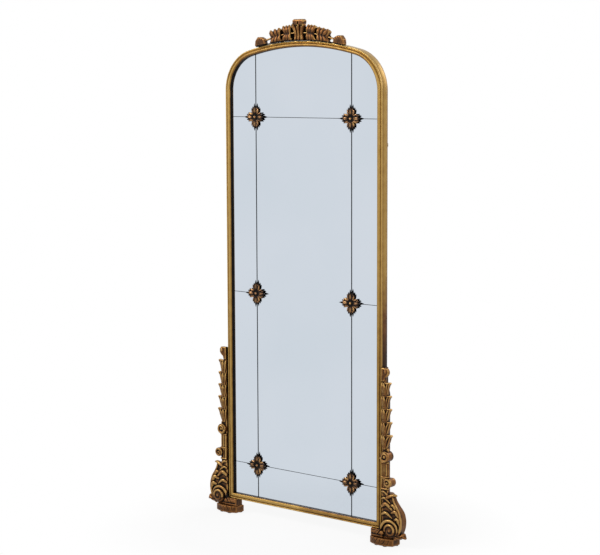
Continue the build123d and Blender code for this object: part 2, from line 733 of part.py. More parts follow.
def foot_parts():
    """Neck, lip, toe and the shelf that carries the frame corner."""
    neck = upright(
        outline([
            (PILASTER_GAP, LIP_HEIGHT - 10), (PILASTER_WIDTH + 3, LIP_HEIGHT - 10),
            (PILASTER_WIDTH + 3, FOOT_TOP), (PILASTER_GAP, FOOT_TOP),
        ]), PILASTER_FRONT, PILASTER_BACK)
    lip = upright(
        outline([
            (PILASTER_WIDTH - 3, LIP_HEIGHT - 12), (PILASTER_WIDTH - 3, LIP_HEIGHT + 16),
            (LIP_OUT - 14, LIP_HEIGHT + 9), (LIP_OUT, LIP_HEIGHT + 3), (LIP_OUT - 2, LIP_HEIGHT - 6),
            (PILASTER_WIDTH + 16, LIP_HEIGHT - 14),
        ]), FOOT_FRONT - 1, PILASTER_BACK + 3)
    toe_out = TOE_OUT - TOE_RADIUS
    toe_face = make_face(Polyline(
        (BULGE_OUT - 30, PLINTH_TOP + 1), (toe_out - 9, PLINTH_TOP + 3), (toe_out, TOE_HEIGHT),
        (toe_out - 9, TOE_HEIGHT + 8), (BULGE_OUT - 12, 60), (BULGE_OUT - 30, 52), close=True))
    curl = Pos(toe_out, TOE_HEIGHT) * RegularPolygon(TOE_RADIUS, VOLUTE_SIDES)
    toe = upright(toe_face + curl, FOOT_FRONT + 2, FOOT_BACK - 8)
    shelf_out = PILASTER_GAP + 2
    shelf = Box(shelf_out + SHELF_IN, RIB_BACK - SHELF_FRONT, FRAME_BOTTOM - PLINTH_TOP)
    shelf_level = (PLINTH_TOP + FRAME_BOTTOM) / 2
    shelf = Pos((shelf_out - SHELF_IN) / 2, (RIB_BACK + SHELF_FRONT) / 2, shelf_level) * shelf
    return neck + lip + toe + shelf


def foot():
    """Carved scroll foot between the plinth and the pilaster."""
    body = foot_body() + foot_parts()
    scroll_back = LOWER_SCROLL_FRONT + LOWER_SCROLL_DEPTH
    body += volute_front(
        LOWER_SCROLL_OUT, LOWER_SCROLL_HEIGHT, LOWER_SCROLL_RADIUS, LOWER_SCROLL_FRONT, scroll_back)
    body += volute_front(
        BIG_VOLUTE_OUT, BIG_VOLUTE_HEIGHT, BIG_VOLUTE_RADIUS, FOOT_FRONT - 6, FOOT_FRONT + 10)
    for step, length in enumerate(FOOT_LEAVES):
        level = BIG_VOLUTE_HEIGHT + BIG_VOLUTE_RADIUS + FOOT_LEAF_STEP * (step + 1 / 3)
        tilt = FOOT_LEAF_TILT + FOOT_LEAF_TURN * step
        body += front_leaf(FOOT_LEAF_OUT, level, tilt, length, FOOT_LEAF_WIDTH, FOOT_FRONT, FOOT_LEAF_RIDGE)
    rib_y = (PILASTER_BACK - 1 + RIB_BACK) / 2
    rib = Box(RIB_WIDTH - SEAT, RIB_BACK - PILASTER_BACK + 1, FOOT_TOP - FRAME_BOTTOM + 2)
    rib = Pos((RIB_WIDTH + SEAT) / 2, rib_y, (FOOT_TOP + FRAME_BOTTOM - 2) / 2) * rib
    return body + rib


def plinth():
    """Bow-fronted base block with a chamfered top."""
    middle = (PLINTH_OUT - PLINTH_IN) / 2
    bow = ThreePointArc((-PLINTH_IN, PLINTH_END), (middle, PLINTH_BOW), (PLINTH_OUT, PLINTH_END))
    rest = Polyline(
        (PLINTH_OUT, PLINTH_END), (PLINTH_OUT, PLINTH_BACK),
        (-PLINTH_IN, PLINTH_BACK), (-PLINTH_IN, PLINTH_END))
    block = extrude(make_face(bow.edges() + rest.edges()), PLINTH_TOP - PAD_HEIGHT)
    block = chamfer(block.edges().group_by(Axis.Z)[-1], PLINTH_CHAMFER)
    return Pos(0, 0, PAD_HEIGHT) * block


def pad_places():
    """Pads near the front bow and at the back corners of a plinth."""
    middle = (PLINTH_OUT - PLINTH_IN) / 2
    room = PAD_RADIUS + PAD_INSET
    rear = PLINTH_BACK - room
    front = [(middle - PAD_SPREAD, PAD_FRONT), (middle + PAD_SPREAD, PAD_FRONT)]
    return front + [(room - PLINTH_IN, rear), (PLINTH_OUT - room, rear)]


def bracket_dowel_places():
    """Level dowels between a stile and its pilaster or foot: start points and lengths."""
    heights = (PILASTER_TOP - 80, FOOT_TOP + 60, FOOT_TOP - 105)
    return [(-SMALL_DOWEL_LENGTH / 2, DOWEL_DEPTH, z) for z in heights]


def joint_dowel_place():
    middle = (PILASTER_GAP + PILASTER_WIDTH) / 2
    return (middle, (PILASTER_FRONT + PILASTER_BACK) / 2, FOOT_TOP - SMALL_DOWEL_LENGTH / 2)


def plinth_dowel_places():
    middle = (FOOT_FRONT + FOOT_BACK) / 2
    low = PLINTH_TOP - SMALL_DOWEL_LENGTH / 2
    return [(-SHELF_IN * 0.4, middle, low), (PLINTH_OUT * 0.6, middle, low)]


def side_dowels(extra_radius, extra_length):
    """All dowels of one side, or their holes with extra size."""
    radius = SMALL_DOWEL_RADIUS + extra_radius
    length = SMALL_DOWEL_LENGTH + 2 * extra_length
    found = {"bracket": [], "joint": [], "plinth": []}
    for x, y, z in bracket_dowel_places():
        found["bracket"].append(prism_along((x - extra_length, y, z), (1, 0, 0), radius, length))
    x, y, z = joint_dowel_place()
    found["joint"].append(prism_along((x, y, z - extra_length), (0, 0, 1), radius, length))
    for x, y, z in plinth_dowel_places():
        found["plinth"].append(prism_along((x, y, z - extra_length), (0, 0, 1), radius, length))
    return found


# Hangers

def hanger_x():
    return SIGHT_X + REBATE_WIDTH + STRAP_WIDTH / 2 + 0.5


def hanger_pivot():
    return (hanger_x(), FRAME_DEPTH + KNUCKLE_RADIUS, HANGER_HEIGHT)


def hanger_screw_places():
    y = FRAME_DEPTH + STRAP_THICKNESS
    return [(hanger_x(), y, HANGER_HEIGHT + STRAP_LENGTH * share) for share in (0.42, 0.82)]


def hanger_strap():
    """Steel strap with a rolled knuckle at its lower end."""
    x, y, z = hanger_pivot()
    half = STRAP_THICKNESS / 2
    plate = Pos(x, FRAME_DEPTH + half, z + STRAP_LENGTH / 2) * Box(STRAP_WIDTH, STRAP_THICKNESS, STRAP_LENGTH)
    tube = RegularPolygon(KNUCKLE_RADIUS, RING_SIDES) - Circle(RING_WIRE + RING_FIT)
    knuckle = Plane(origin=(x, y, z), z_dir=(1, 0, 0)) * extrude(tube, KNUCKLE_LENGTH / 2, both=True)
    strap = plate + knuckle
    for place in hanger_screw_places():
        strap -= pilot(place, (0, -1, 0))
    return strap


def hanger_ring():
    """Closed wire ring hanging down from the knuckle."""
    half = RING_WIDTH / 2
    c = RING_CORNER
    low = -(RING_DROP - half)
    turns = [math.pi * k / RING_BENDS for k in range(RING_BENDS + 1)]
    bow = [(half * math.cos(a), low - half * math.sin(a)) for a in turns]
    corners = [(0, 0), (half - c, 0), (half, -c)] + bow + [(-half, -c), (-half + c, 0)]
    path = Polyline(*corners, close=True)
    section = Plane(origin=(0, 0, 0), z_dir=(1, 0, 0)) * RegularPolygon(RING_WIRE, RING_SIDES)
    ring = sweep(section, path=path, transition=Transition.RIGHT)
    return Pos(*hanger_pivot()) * (Rot(90, 0, 0) * ring)


# Assembly

def group(shapes):
    return Compound(children=list(shapes))


def paired(shapes):
    """Right-hand shapes together with their left-hand images."""
    shapes = list(shapes)
    return shapes + [mirror(shape, about=Plane.YZ) for shape in shapes]


def drilled(shape, holes):
    """Cut every hole that lies within the shape's bounds."""
    box = shape.bounding_box()
    near = [h for h in holes if boxes_meet(box, h.bounding_box())]
    return shape - near if near else shape


def boxes_meet(a, b):
    apart = [
        a.min.X > b.max.X, b.min.X > a.max.X, a.min.Y > b.max.Y,
        b.min.Y > a.max.Y, a.min.Z > b.max.Z, b.min.Z > a.max.Z,
    ]
    return not any(apart)


def assemble():
    """Every node of the mirror by name, front of the frame at Y zero."""
    outward = Pos(HALF_WIDTH, 0, 0)
    dowels = side_dowels(0, 0)
    side_holes = [outward * h for holes in side_dowels(FIT, 1).values() for h in holes]
    brace_pilots = [pilot(p, (0, -1, 0)) for p in brace_screw_places()]
    hanger_pilots = [pilot(p, (0, -1, 0)) for p in hanger_screw_places()]
    clip_pilots = [move * pilot(clip_screw_place(), (0, -1, 0)) for move in clip_moves()]
    crest_pilots = [move * pilot(p, d) for move in crown_moves() for p, d in crest_screw_places()]
    holes = paired(side_holes + brace_pilots + hanger_pilots)
    holes += clip_pilots + crest_pilots + head_dowel_holes()
    nodes = {"frame_head": drilled(raw_head(), holes), "frame_bottom_rail": drilled(raw_rail(), holes)}
    right_side = {
        "frame_stile": raw_stile(),
        "pilaster": outward * pilaster(),
        "foot": outward * foot(),
        "plinth": outward * plinth(),
        "corner_brace": corner_brace(),
        "hanger_strap": hanger_strap(),
        "hanger_ring": hanger_ring(),
    }
    for name, shape in right_side.items():
        for side, image in both_sides(shape).items():
            solid = name.startswith(("corner", "hanger"))
            nodes[f"{name}_{side}"] = image if solid else drilled(image, holes)
    nodes.update(panes())
    nodes["backing_board"] = backing_board()
    nodes["setting_blocks"] = group(setting_blocks())
    flower = rosette()
    for level, z in LEVELS.items():
        for side, sign in SIDES.items():
            nodes[f"rosette_{level}_{side}"] = on_glass(flower, sign * SEAM_X, z)
    nodes["rosette_bolts"] = group(on_glass(rosette_bolt(), x, z) for x, z in bolt_places())
    nodes["rosette_nuts"] = group(on_glass(rosette_nut(), x, z) for x, z in bolt_places())
    nodes["crest"] = drilled(crest(), crest_pilots)
    nodes["crest_angles"] = group(move * crest_angle() for move in crown_moves())
    crest_screws = [screw(place, direction) for place, direction in crest_screw_places()]
    nodes["crest_screws"] = group(move * s for move in crown_moves() for s in crest_screws)
    nodes["board_clips"] = group(move * clip_at_right() for move in clip_moves())
    nodes["clip_screws"] = group(move * screw(clip_screw_place(), (0, -1, 0)) for move in clip_moves())
    nodes["brace_screws"] = group(paired(screw(p, (0, -1, 0)) for p in brace_screw_places()))
    nodes["hanger_screws"] = group(paired(screw(p, (0, -1, 0)) for p in hanger_screw_places()))
    nodes["head_dowels"] = group(head_dowels())
    for name, shapes in dowels.items():
        nodes[f"{name}_dowels"] = group(paired(outward * s for s in shapes))
    pad = extrude(RegularPolygon(PAD_RADIUS, PAD_SIDES), PAD_HEIGHT)
    nodes["felt_pads"] = group(paired(outward * Pos(x, y, 0) * pad for x, y in pad_places()))
    return nodes


os.makedirs("parts", exist_ok=True)
for node, model in assemble().items():
    export_step(Pos(0, Y_FRONT, 0) * model, f"parts/{node}.step")
    print(node, len(model.solids()), round(model.volume))
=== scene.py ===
"""Looks of an arched floor mirror: carved gilt ornament, moulded frame, plates and studio."""

import logging
import math
from dataclasses import dataclass
from enum import Enum
from itertools import product
from typing import Iterable, Sequence

import bpy
import numpy as np
from mathutils import Matrix, Vector

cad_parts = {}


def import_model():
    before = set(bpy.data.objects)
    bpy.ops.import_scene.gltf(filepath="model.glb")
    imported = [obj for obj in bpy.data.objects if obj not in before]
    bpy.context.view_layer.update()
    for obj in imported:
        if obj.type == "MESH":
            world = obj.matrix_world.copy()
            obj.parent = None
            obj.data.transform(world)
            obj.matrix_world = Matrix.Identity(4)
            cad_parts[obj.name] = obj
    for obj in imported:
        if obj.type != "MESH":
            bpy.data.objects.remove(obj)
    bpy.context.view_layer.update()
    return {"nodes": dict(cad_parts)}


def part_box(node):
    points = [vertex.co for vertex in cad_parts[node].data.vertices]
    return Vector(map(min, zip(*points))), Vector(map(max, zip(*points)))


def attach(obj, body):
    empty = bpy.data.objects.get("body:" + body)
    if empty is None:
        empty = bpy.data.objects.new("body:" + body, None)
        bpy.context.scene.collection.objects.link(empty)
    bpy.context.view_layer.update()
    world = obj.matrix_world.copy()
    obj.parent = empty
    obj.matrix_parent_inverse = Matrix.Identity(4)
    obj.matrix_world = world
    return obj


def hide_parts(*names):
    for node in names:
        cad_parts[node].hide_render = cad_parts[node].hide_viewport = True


log = logging.getLogger("floor_mirror")

MM = 0.001
FAR = 50.0
TINY = 1e-9
ROOT = "mirror"
# Attribute of each vertex's brightness: rubbed wear and hollow patina, and in places painted light
# and shade.
RUB_AND_LIGHT = "rub"
CUBE_CORNERS = tuple(product((0, 1), repeat=3))
SPIRAL_STEPS = 22
DRUM_SIDES = 40
HOLLOW_GAIN = 4.5
EASE_WEIGHTS = (0.5, -0.35)
GRAIN_STOPS = (0.3, 0.7)
WHITE = (1, 1, 1, 1)
CARVED_FRONT = -19.0
REEDS = (9.5, 18.5, 27.5)

Point = tuple[float, float, float]
Flat = tuple[float, float]
Colour = tuple[float, float, float]


class Named(Enum):
    """Choice whose name is part of node names."""

    @property
    def word(self) -> str:
        """Lower-case name, as used in node names."""
        return self.name.lower()


class Side(Named):
    """The two hands of the mirror, with the sign of X on each."""

    LEFT = -1
    RIGHT = 1


class Row(Named):
    """Rows of rosettes, from the top down."""

    TOP = 0
    MIDDLE = 1
    BOTTOM = 2


class Axis(Enum):
    """Axis of the grid, by its number."""

    X = 0
    Y = 1
    Z = 2


# Curves in millimetres


def curve(points: Sequence[Sequence[float]], steps: int = 8) -> np.ndarray:
    """Smooth path through points.

    Args:
        points: Two or more points, of any dimension.
        steps: Pieces between each two points.

    Returns:
        One row per point on the path.
    """
    knots = np.asarray(points, float)
    padded = np.vstack([2 * knots[0] - knots[1], knots, 2 * knots[-1] - knots[-2]])
    share = np.linspace(0, 1, steps, endpoint=False)[:, None]
    found = []
    for k in range(len(knots) - 1):
        a, b, c, d = padded[k : k + 4]
        square = (2 * a - 5 * b + 4 * c - d) * share**2
        cube = (3 * b - a - 3 * c + d) * share**3
        found.append(0.5 * (2 * b + (c - a) * share + square + cube))
    return np.vstack(found + [knots[-1:]])


def both_sides(right: Sequence[Flat]) -> list[Flat]:
    """Outline from its right half, run on round the left."""
    return list(right) + [(-x, z) for x, z in reversed(right)]


def spiral(
    centre: Flat, depth: float, outer: float, inner: float, start: float, turns: float
) -> np.ndarray:
    """Spiral in an upright plane, from its outer end inwards.

    Args:
        centre: Middle of the spiral in X and Z.
        depth: Y of the plane.
        outer: Radius at the start.
        inner: Radius at the end.
        start: Angle of the start in degrees, from +X towards +Z.
        turns: Turns made, negative for clockwise.

    Returns:
        One row of X, Y, Z per point.
    """
    count = int(abs(turns) * SPIRAL_STEPS) + 2
    share = np.linspace(0, 1, count)
    angle = math.radians(start) + 2 * math.pi * turns * share
    radius = outer + (inner - outer) * share
    x = centre[0] + radius * np.cos(angle)
    z = centre[1] + radius * np.sin(angle)
    return np.stack([x, np.full(count, depth), z], axis=1)


# Carving: solid shapes as a distance field on a grid


@dataclass(frozen=True)
class Surface:
    """A carved surface in millimetres, with how bright each vertex is: rubbed wear and hollow
    patina, with painted light and shade added in places.
    """

    verts: np.ndarray
    faces: np.ndarray
    rub: np.ndarray

    def mirrored(self) -> "Surface":
        """The same surface on the other side of the middle."""
        return Surface(self.verts * (-1, 1, 1), self.faces[:, ::-1], self.rub)

    def with_rub(self, rub: np.ndarray) -> "Surface":
        """The same surface, rubbed otherwise."""
        return Surface(self.verts, self.faces, rub)

    def piece(self, name: str) -> bpy.types.Object:
        """Make a smooth-shaded object with its place in its mesh."""
        return make_object(name, self.verts, self.faces.tolist(), self.rub)


class Carving:
    """Block of space that strokes, slabs and balls are added to or cut from."""

    def __init__(self, low: Point, high: Point, step: float) -> None:
        """Set up an empty block.

        Args:
            low: Lowest corner in millimetres.
            high: Highest corner in millimetres.
            step: Grid step in millimetres.
        """
        border = 3 * step
        self.step = step
        self.near = 2 * step
        self.low = np.asarray(low, float) - border
        counts = np.ceil((np.asarray(high, float) + border - self.low) / step).astype(int) + 1
        self.field = np.full(counts, FAR, np.float32)

    def _line(self, k: int, first: int, last: int) -> np.ndarray:
        """Places of the grid planes along one axis, open along the other two."""
        shape = [1, 1, 1]
        shape[k] = last - first
        return (self.low[k] + self.step * np.arange(first, last)).reshape(shape)

    def _window(
        self, low: np.ndarray, high: np.ndarray
    ) -> tuple[tuple[slice, ...], list[np.ndarray]]:
        """Part of the grid near a box, as slices and open coordinate arrays."""
        first = np.floor((low - self.low) / self.step).astype(int)
        last = np.ceil((high - self.low) / self.step).astype(int) + 1
        slices, axes = [], []
        for k, size in enumerate(self.field.shape):
            a, b = (int(np.clip(v, 0, size)) for v in (first[k], last[k]))
            slices.append(slice(a, b))
            axes.append(self._line(k, a, b).astype(np.float32))
        return tuple(slices), axes

    def _merge(
        self, slices: tuple[slice, ...], distance: np.ndarray, blend: float, cut: bool
    ) -> None:
        """Join a distance into the field, or cut it out, with a soft edge."""
        here = self.field[slices]
        sign = -1.0 if cut else 1.0
        old, new = sign * here, distance
        if blend > 0:
            share = np.clip(0.5 + 0.5 * (old - new) / blend, 0, 1)
            joined = old + (new - old) * share - blend * share * (1 - share)
        else:
            joined = np.minimum(old, new)
        self.field[slices] = sign * joined

    def stroke(
        self,
        path: Sequence[Sequence[float]],
        radii: Sequence[float],
        flat: float = 1.0,
        blend: float = 0.0,
        cut: bool = False,
    ) -> None:
        """Add or cut a round stroke that swells and tapers along a path.

        Args:
            path: Points in millimetres.
            radii: Radii spread evenly along the path.
            flat: Depth of the section over its width.
            blend: Width of the soft joint with what is there.
            cut: Cut the stroke out instead.
        """
        points = np.asarray(path, float)
        places = np.linspace(0, 1, len(radii))
        sizes = np.interp(np.linspace(0, 1, len(points)), places, radii)
        reach = max(radii) * max(1.0, flat) + blend + self.near
        slices, (x, y, z) = self._window(points.min(0) - reach, points.max(0) + reach)
        best = np.full(np.broadcast_shapes(x.shape, y.shape, z.shape), FAR, np.float32)
        squash = np.array([1, 1 / flat, 1])
        for a, b, ra, rb in zip(points * squash, points[1:] * squash, sizes, sizes[1:]):
            run = b - a
            length = max(float(run @ run), TINY)
            offsets = (x - a[0], y / flat - a[1], z - a[2])
            t = np.clip(sum(d * r for d, r in zip(offsets, run)) / length, 0, 1)
            gap = np.sqrt(sum((d - t * r) ** 2 for d, r in zip(offsets, run)))
            np.minimum(best, gap - (ra + (rb - ra) * t), out=best)
        self._merge(slices, best, blend, cut)

    def ball(self, centre: Point, radii: Point, blend: float = 0.0, cut: bool = False) -> None:
        """Add or cut an egg shape with a radius along each axis."""
        middle, sizes = np.asarray(centre, float), np.asarray(radii, float)
        reach = sizes + blend + self.near
        slices, axes = self._window(middle - reach, middle + reach)
        squared = sum(((line - m) / size) ** 2 for line, m, size in zip(axes, middle, sizes))
        distance = (np.sqrt(squared) - 1) * sizes.min()
        self._merge(slices, distance.astype(np.float32), blend, cut)

    def slab(
        self,
        outline: Sequence[Sequence[float]],
        low: float,
        high: float,
        soften: float,
        axis: Axis = Axis.Y,
        blend: float = 0.0,
    ) -> None:
        """Add a plate of even thickness with rounded edges.

        Args:
            outline: Corners in the two axes across the thickness.
            low: Lowest place along the axis.
            high: Highest place along the axis.
            soften: Radius of its edges.
            axis: Axis of the thickness.
            blend: Width of the soft joint with what is there.
        """
        corners = np.asarray(outline, float)
        others = [k for k in range(3) if k != axis.value]
        bottom, top = np.zeros(3), np.zeros(3)
        bottom[others], top[others] = corners.min(0), corners.max(0)
        bottom[axis.value], top[axis.value] = low, high
        margin = blend + self.near
        slices, axes = self._window(bottom - margin, top + margin)
        u, v, w = axes[others[0]], axes[others[1]], axes[axis.value]
        plan = polygon_distance(u, v, corners) + soften
        wall = np.maximum(low - w, w - high) + soften
        outside = np.sqrt(np.maximum(plan, 0) ** 2 + np.maximum(wall, 0) ** 2)
        distance = outside + np.minimum(np.maximum(plan, wall), 0) - soften
        self._merge(slices, distance.astype(np.float32), blend, False)

    def drum(
        self, centre: Flat, radius: float, low: float, high: float, soften: float, blend: float
    ) -> None:
        """Add a round drum that lies along Y, with its middle in X and Z."""
        angles = np.linspace(0, 2 * math.pi, DRUM_SIDES, endpoint=False)
        x, z = centre[0] + radius * np.cos(angles), centre[1] + radius * np.sin(angles)
        self.slab(np.stack([x, z], axis=1), low, high, soften, Axis.Y, blend)

    def trim(self, axis: Axis, value: float, keep_below: bool = False) -> None:
        """Cut everything on one side of a plane across an axis."""
        place = self._line(axis.value, 0, self.field.shape[axis.value])
        gap = place - value if keep_below else value - place
        self.field = np.maximum(self.field, gap.astype(np.float32))

    def trim_below_arc(self, centre_z: float, radius: float) -> None:
        """Cut everything inside a round arch that runs through in Y."""
        x, _, z = (self._line(k, 0, count) for k, count in enumerate(self.field.shape))
        gap = radius - np.sqrt(x**2 + (z - centre_z) ** 2)
        self.field = np.maximum(self.field, gap.astype(np.float32))

    def surface(self, reach: float, bias: float = 0.0) -> Surface:
        """Turn the field into a closed surface.

        Args:
            reach: Size in millimetres of the hollows that stay dark.
            bias: Added to how bright the surface is rubbed.

        Returns:
            The surface, with each vertex's rub from 0 in hollows to 1 on ridges.
        """
        inside = self.field < 0
        total = np.zeros([size - 1 for size in inside.shape], np.int8)
        for corner in CUBE_CORNERS:
            total += inside[tuple(slice(o, s - 1 + o) for o, s in zip(corner, inside.shape))]
        cells = np.argwhere((total > 0) & (total < len(CUBE_CORNERS)))
        number = np.full(total.shape, -1, np.int64)
        number[tuple(cells.T)] = np.arange(len(cells))
        verts = self.low + self.step * (cells + self._spots(cells))
        faces = np.vstack([self._walls(inside, number, k) for k in range(3)])
        verts = relaxed(verts, faces)
        return Surface(verts, faces, np.clip(0.5 + bias - self._hollow(verts, reach), 0, 1))

    def _spots(self, cells: np.ndarray) -> np.ndarray:
        """Mean place in each cell of where the surface crosses the cell's edges."""
        spot, count = np.zeros((len(cells), 3)), np.zeros(len(cells))
        for corner, k in product(CUBE_CORNERS, range(3)):
            if corner[k]:
                continue
            start = cells + corner
            end = start.copy()
            end[:, k] += 1
            fa, fb = self.field[tuple(start.T)], self.field[tuple(end.T)]
            crossed = (fa < 0) != (fb < 0)
            at = np.where(crossed, fa / np.where(fa == fb, 1, fa - fb), 0)
            place = np.repeat([corner], len(cells), 0).astype(float)
            place[:, k] += at
            spot += place * crossed[:, None]
            count += crossed
        return spot / count[:, None]

    @staticmethod
    def _walls(inside: np.ndarray, number: np.ndarray, k: int) -> np.ndarray:
        """Four-sided faces across the grid edges along one axis, wound outwards."""
        b, c = (k + 1) % 3, (k + 2) % 3
        here = [slice(1, -1)] * 3
        here[k] = slice(0, -1)
        there = list(here)
        there[k] = slice(1, None)
        first, second = inside[tuple(here)], inside[tuple(there)]
        edges = np.argwhere(first != second)
        edges[:, b] += 1
        edges[:, c] += 1
        leaving = inside[tuple(edges.T)]
        ring = []
        for ob, oc in ((0, 0), (-1, 0), (-1, -1), (0, -1)):
            cell = edges.copy()
            cell[:, b] += ob
            cell[:, c] += oc
            ring.append(number[tuple(cell.T)])
        faces = np.stack(ring, axis=1)
        faces[~leaving] = faces[~leaving][:, ::-1]
        return faces

    def _hollow(self, verts: np.ndarray, reach: float) -> np.ndarray:
        """How much solid lies round each vertex, zero on a flat, above it in a hollow."""
        solid = np.clip(0.5 - self.field / self.step, 0, 1)
        half = max(1, round(reach / self.step / 2))
        for _ in range(2):
            for k in range(3):
                pad = [(0, 0)] * 3
                pad[k] = (half + 1, half)
                run = np.cumsum(np.pad(solid, pad), axis=k)
                size = solid.shape[k]
                ahead = np.take(run, np.arange(size) + 2 * half + 1, axis=k)
                solid = (ahead - np.take(run, np.arange(size), axis=k)) / (2 * half + 1)
        place = (verts - self.low) / self.step
        base = np.clip(np.floor(place).astype(int), 0, np.array(solid.shape) - 2)
        part = place - base
        total = np.zeros(len(verts))
        for corner in CUBE_CORNERS:
            weight = np.prod(np.where(corner, part, 1 - part), axis=1)
            total += weight * solid[tuple((base + corner).T)]
        return HOLLOW_GAIN * (total - 0.5)


def polygon_distance(u: np.ndarray, v: np.ndarray, corners: np.ndarray) -> np.ndarray:
    """Signed distance from points to a closed outline, negative inside."""
    shape = np.broadcast_shapes(u.shape, v.shape)
    nearest = np.full(shape, np.inf, np.float32)
    odd = np.zeros(shape, bool)
    for (ax, ay), (bx, by) in zip(corners, np.roll(corners, -1, axis=0)):
        ex, ey = bx - ax, by - ay
        t = np.clip(((u - ax) * ex + (v - ay) * ey) / max(ex * ex + ey * ey, TINY), 0, 1)
        np.minimum(nearest, (u - ax - t * ex) ** 2 + (v - ay - t * ey) ** 2, out=nearest)
        if ey != 0:
            odd ^= ((ay > v) != (by > v)) & (u < (v - ay) / ey * ex + ax)
    return np.where(odd, -1, 1) * np.sqrt(nearest)


def relaxed(verts: np.ndarray, faces: np.ndarray, rounds: int = 2) -> np.ndarray:
    """Ease the grid's steps by moving vertices towards their neighbours and partly back."""
    size = len(verts)
    starts = faces.ravel()
    ends = np.roll(faces, -1, axis=1).ravel()
    count = np.bincount(starts, minlength=size) + np.bincount(ends, minlength=size)
    for weight in EASE_WEIGHTS * rounds:
        sums = [
            np.bincount(starts, line[ends], size) + np.bincount(ends, line[starts], size)
            for line in verts.T
        ]
        mean = np.stack(sums, axis=1) / np.maximum(count, 1)[:, None]
        verts = verts + weight * (mean - verts)
    return verts


def linked(name: str, data: bpy.types.ID) -> bpy.types.Object:
    """New object of some data, in the scene."""
    made = bpy.data.objects.new(name, data)
    bpy.context.scene.collection.objects.link(made)
    return made


def smooth(mesh: bpy.types.Mesh) -> None:
    """Shade every face of a mesh smooth."""
    mesh.polygons.foreach_set("use_smooth", np.ones(len(mesh.polygons), bool))


def store_rub(mesh: bpy.types.Mesh, rub: np.ndarray) -> None:
    """Keep the rub of each vertex where the finishes read it."""
    values = np.asarray(rub, np.float32)
    mesh.attributes.new(RUB_AND_LIGHT, "FLOAT", "POINT").data.foreach_set("value", values)


def make_object(
    name: str, verts: np.ndarray, faces: list, rub: np.ndarray | None = None
) -> bpy.types.Object:
    """Make a mesh object from millimetres.

    Args:
        name: Name of the object.
        verts: Places in millimetres.
        faces: Vertex numbers of each face.
        rub: Brightness of each vertex, or None.

    Returns:
        The linked object, at the origin.
    """
    mesh = bpy.data.meshes.new(name)
    mesh.from_pydata((np.asarray(verts) * MM).tolist(), [], faces)
    smooth(mesh)
    if rub is not None:
        store_rub(mesh, rub)
    mesh.update()
    return linked(name, mesh)


# Node trees


class Graph:
    """Adds and joins the nodes of one node tree."""

    def __init__(self, tree: bpy.types.NodeTree) -> None:
        """Work on a tree, emptied first."""
        self.tree = tree
        tree.nodes.clear()

    def add(self, kind: str, inputs: dict | None = None, **settings) -> bpy.types.Node:
        """Add a node.

        Args:
            kind: Type name of the node.
            inputs: Values for its sockets, or output sockets to join to them, by name or number.
            **settings: Properties of the node.

        Returns:
            The node.
        """
        node = self.tree.nodes.new(kind)
        for key, value in settings.items():
            setattr(node, key, value)
        for key, value in (inputs or {}).items():
            if isinstance(value, bpy.types.NodeSocket):
                self.tree.links.new(value, node.inputs[key])
            else:
                node.inputs[key].default_value = value
        return node

    def math(self, operation: str, *values) -> bpy.types.NodeSocket:
        """Result of a sum on sockets or numbers."""
        return self.add("ShaderNodeMath", dict(enumerate(values)), operation=operation).outputs[0]


class ShapeTree:
    """A Geometry Nodes tree with named inputs, and the baking of what it makes."""

    def __init__(self, name: str, sockets: dict[str, str]) -> None:
        """Start a tree.

        Args:
            name: Name of the tree.
            sockets: Kind of each named input, beside the geometry and the material.
        """
        self.tree = bpy.data.node_groups.new(name, "GeometryNodeTree")
        self.graph = Graph(self.tree)
        self._socket("Geometry", "Geometry", "INPUT")
        self._socket("Geometry", "Geometry", "OUTPUT")
        for label, kind in sockets.items():
            self._socket(label, kind, "INPUT")
        self._socket("Material", "Material", "INPUT")
        self.inputs = self.graph.add("NodeGroupInput").outputs

    def _socket(self, label: str, kind: str, way: str) -> None:
        """Add an input or output to the tree."""
        self.tree.interface.new_socket(label, in_out=way, socket_type="NodeSocket" + kind)

    def held(self, label: str) -> bpy.types.NodeSocket:
        """Geometry of the object at a named input."""
        inputs = {"Object": self.inputs[label]}
        return self.graph.add("GeometryNodeObjectInfo", inputs).outputs["Geometry"]

    def close(self, geometry: bpy.types.NodeSocket) -> None:
        """Finish the tree: real geometry with the chosen material."""
        real = self.graph.add("GeometryNodeRealizeInstances", {"Geometry": geometry}).outputs[0]
        kept = {"Geometry": real, "Material": self.inputs["Material"]}
        painted = self.graph.add("GeometryNodeSetMaterial", kept).outputs[0]
        self.graph.add("NodeGroupOutput", {"Geometry": painted})

    def bake(
        self, name: str, seed: bpy.types.Object, finish: "Finish", **values
    ) -> bpy.types.Object:
        """Make a plain mesh object from a seed object.

        Args:
            name: Name of the new object.
            seed: Object whose mesh goes in. It is used up.
            finish: Finish whose material goes in.
            **values: Value of each other named input.

        Returns:
            The new object, without modifiers.
        """
        values["Material"] = finish.material()
        modifier = seed.modifiers.new("shape", "NODES")
        modifier.node_group = self.tree
        for item in self.tree.interface.items_tree:
            if item.in_out == "INPUT" and item.name in values:
                modifier[item.identifier] = values[item.name]
        evaluated = seed.evaluated_get(bpy.context.evaluated_depsgraph_get())
        made = linked(name, bpy.data.meshes.new_from_object(evaluated))
        seed.modifiers.remove(modifier)
        bpy.data.objects.remove(seed)
        return made


def sweep_tree() -> ShapeTree:
    """Tree that runs a closed section along an upright path, section X to the front."""
    shape = ShapeTree("section_along_path", {"Section": "Object"})
    add = shape.graph.add
    path = add("GeometryNodeMeshToCurve", {"Mesh": shape.inputs["Geometry"]}).outputs[0]
    front = {"Curve": path, "Normal": (0, -1, 0)}
    steady = add("GeometryNodeSetCurveNormal", front, mode="FREE").outputs[0]
    rim = add("GeometryNodeMeshToCurve", {"Mesh": shape.held("Section")}).outputs[0]
    bar = {"Curve": steady, "Profile Curve": rim, "Fill Caps": True}
    shape.close(add("GeometryNodeCurveToMesh", bar).outputs[0])
    return shape


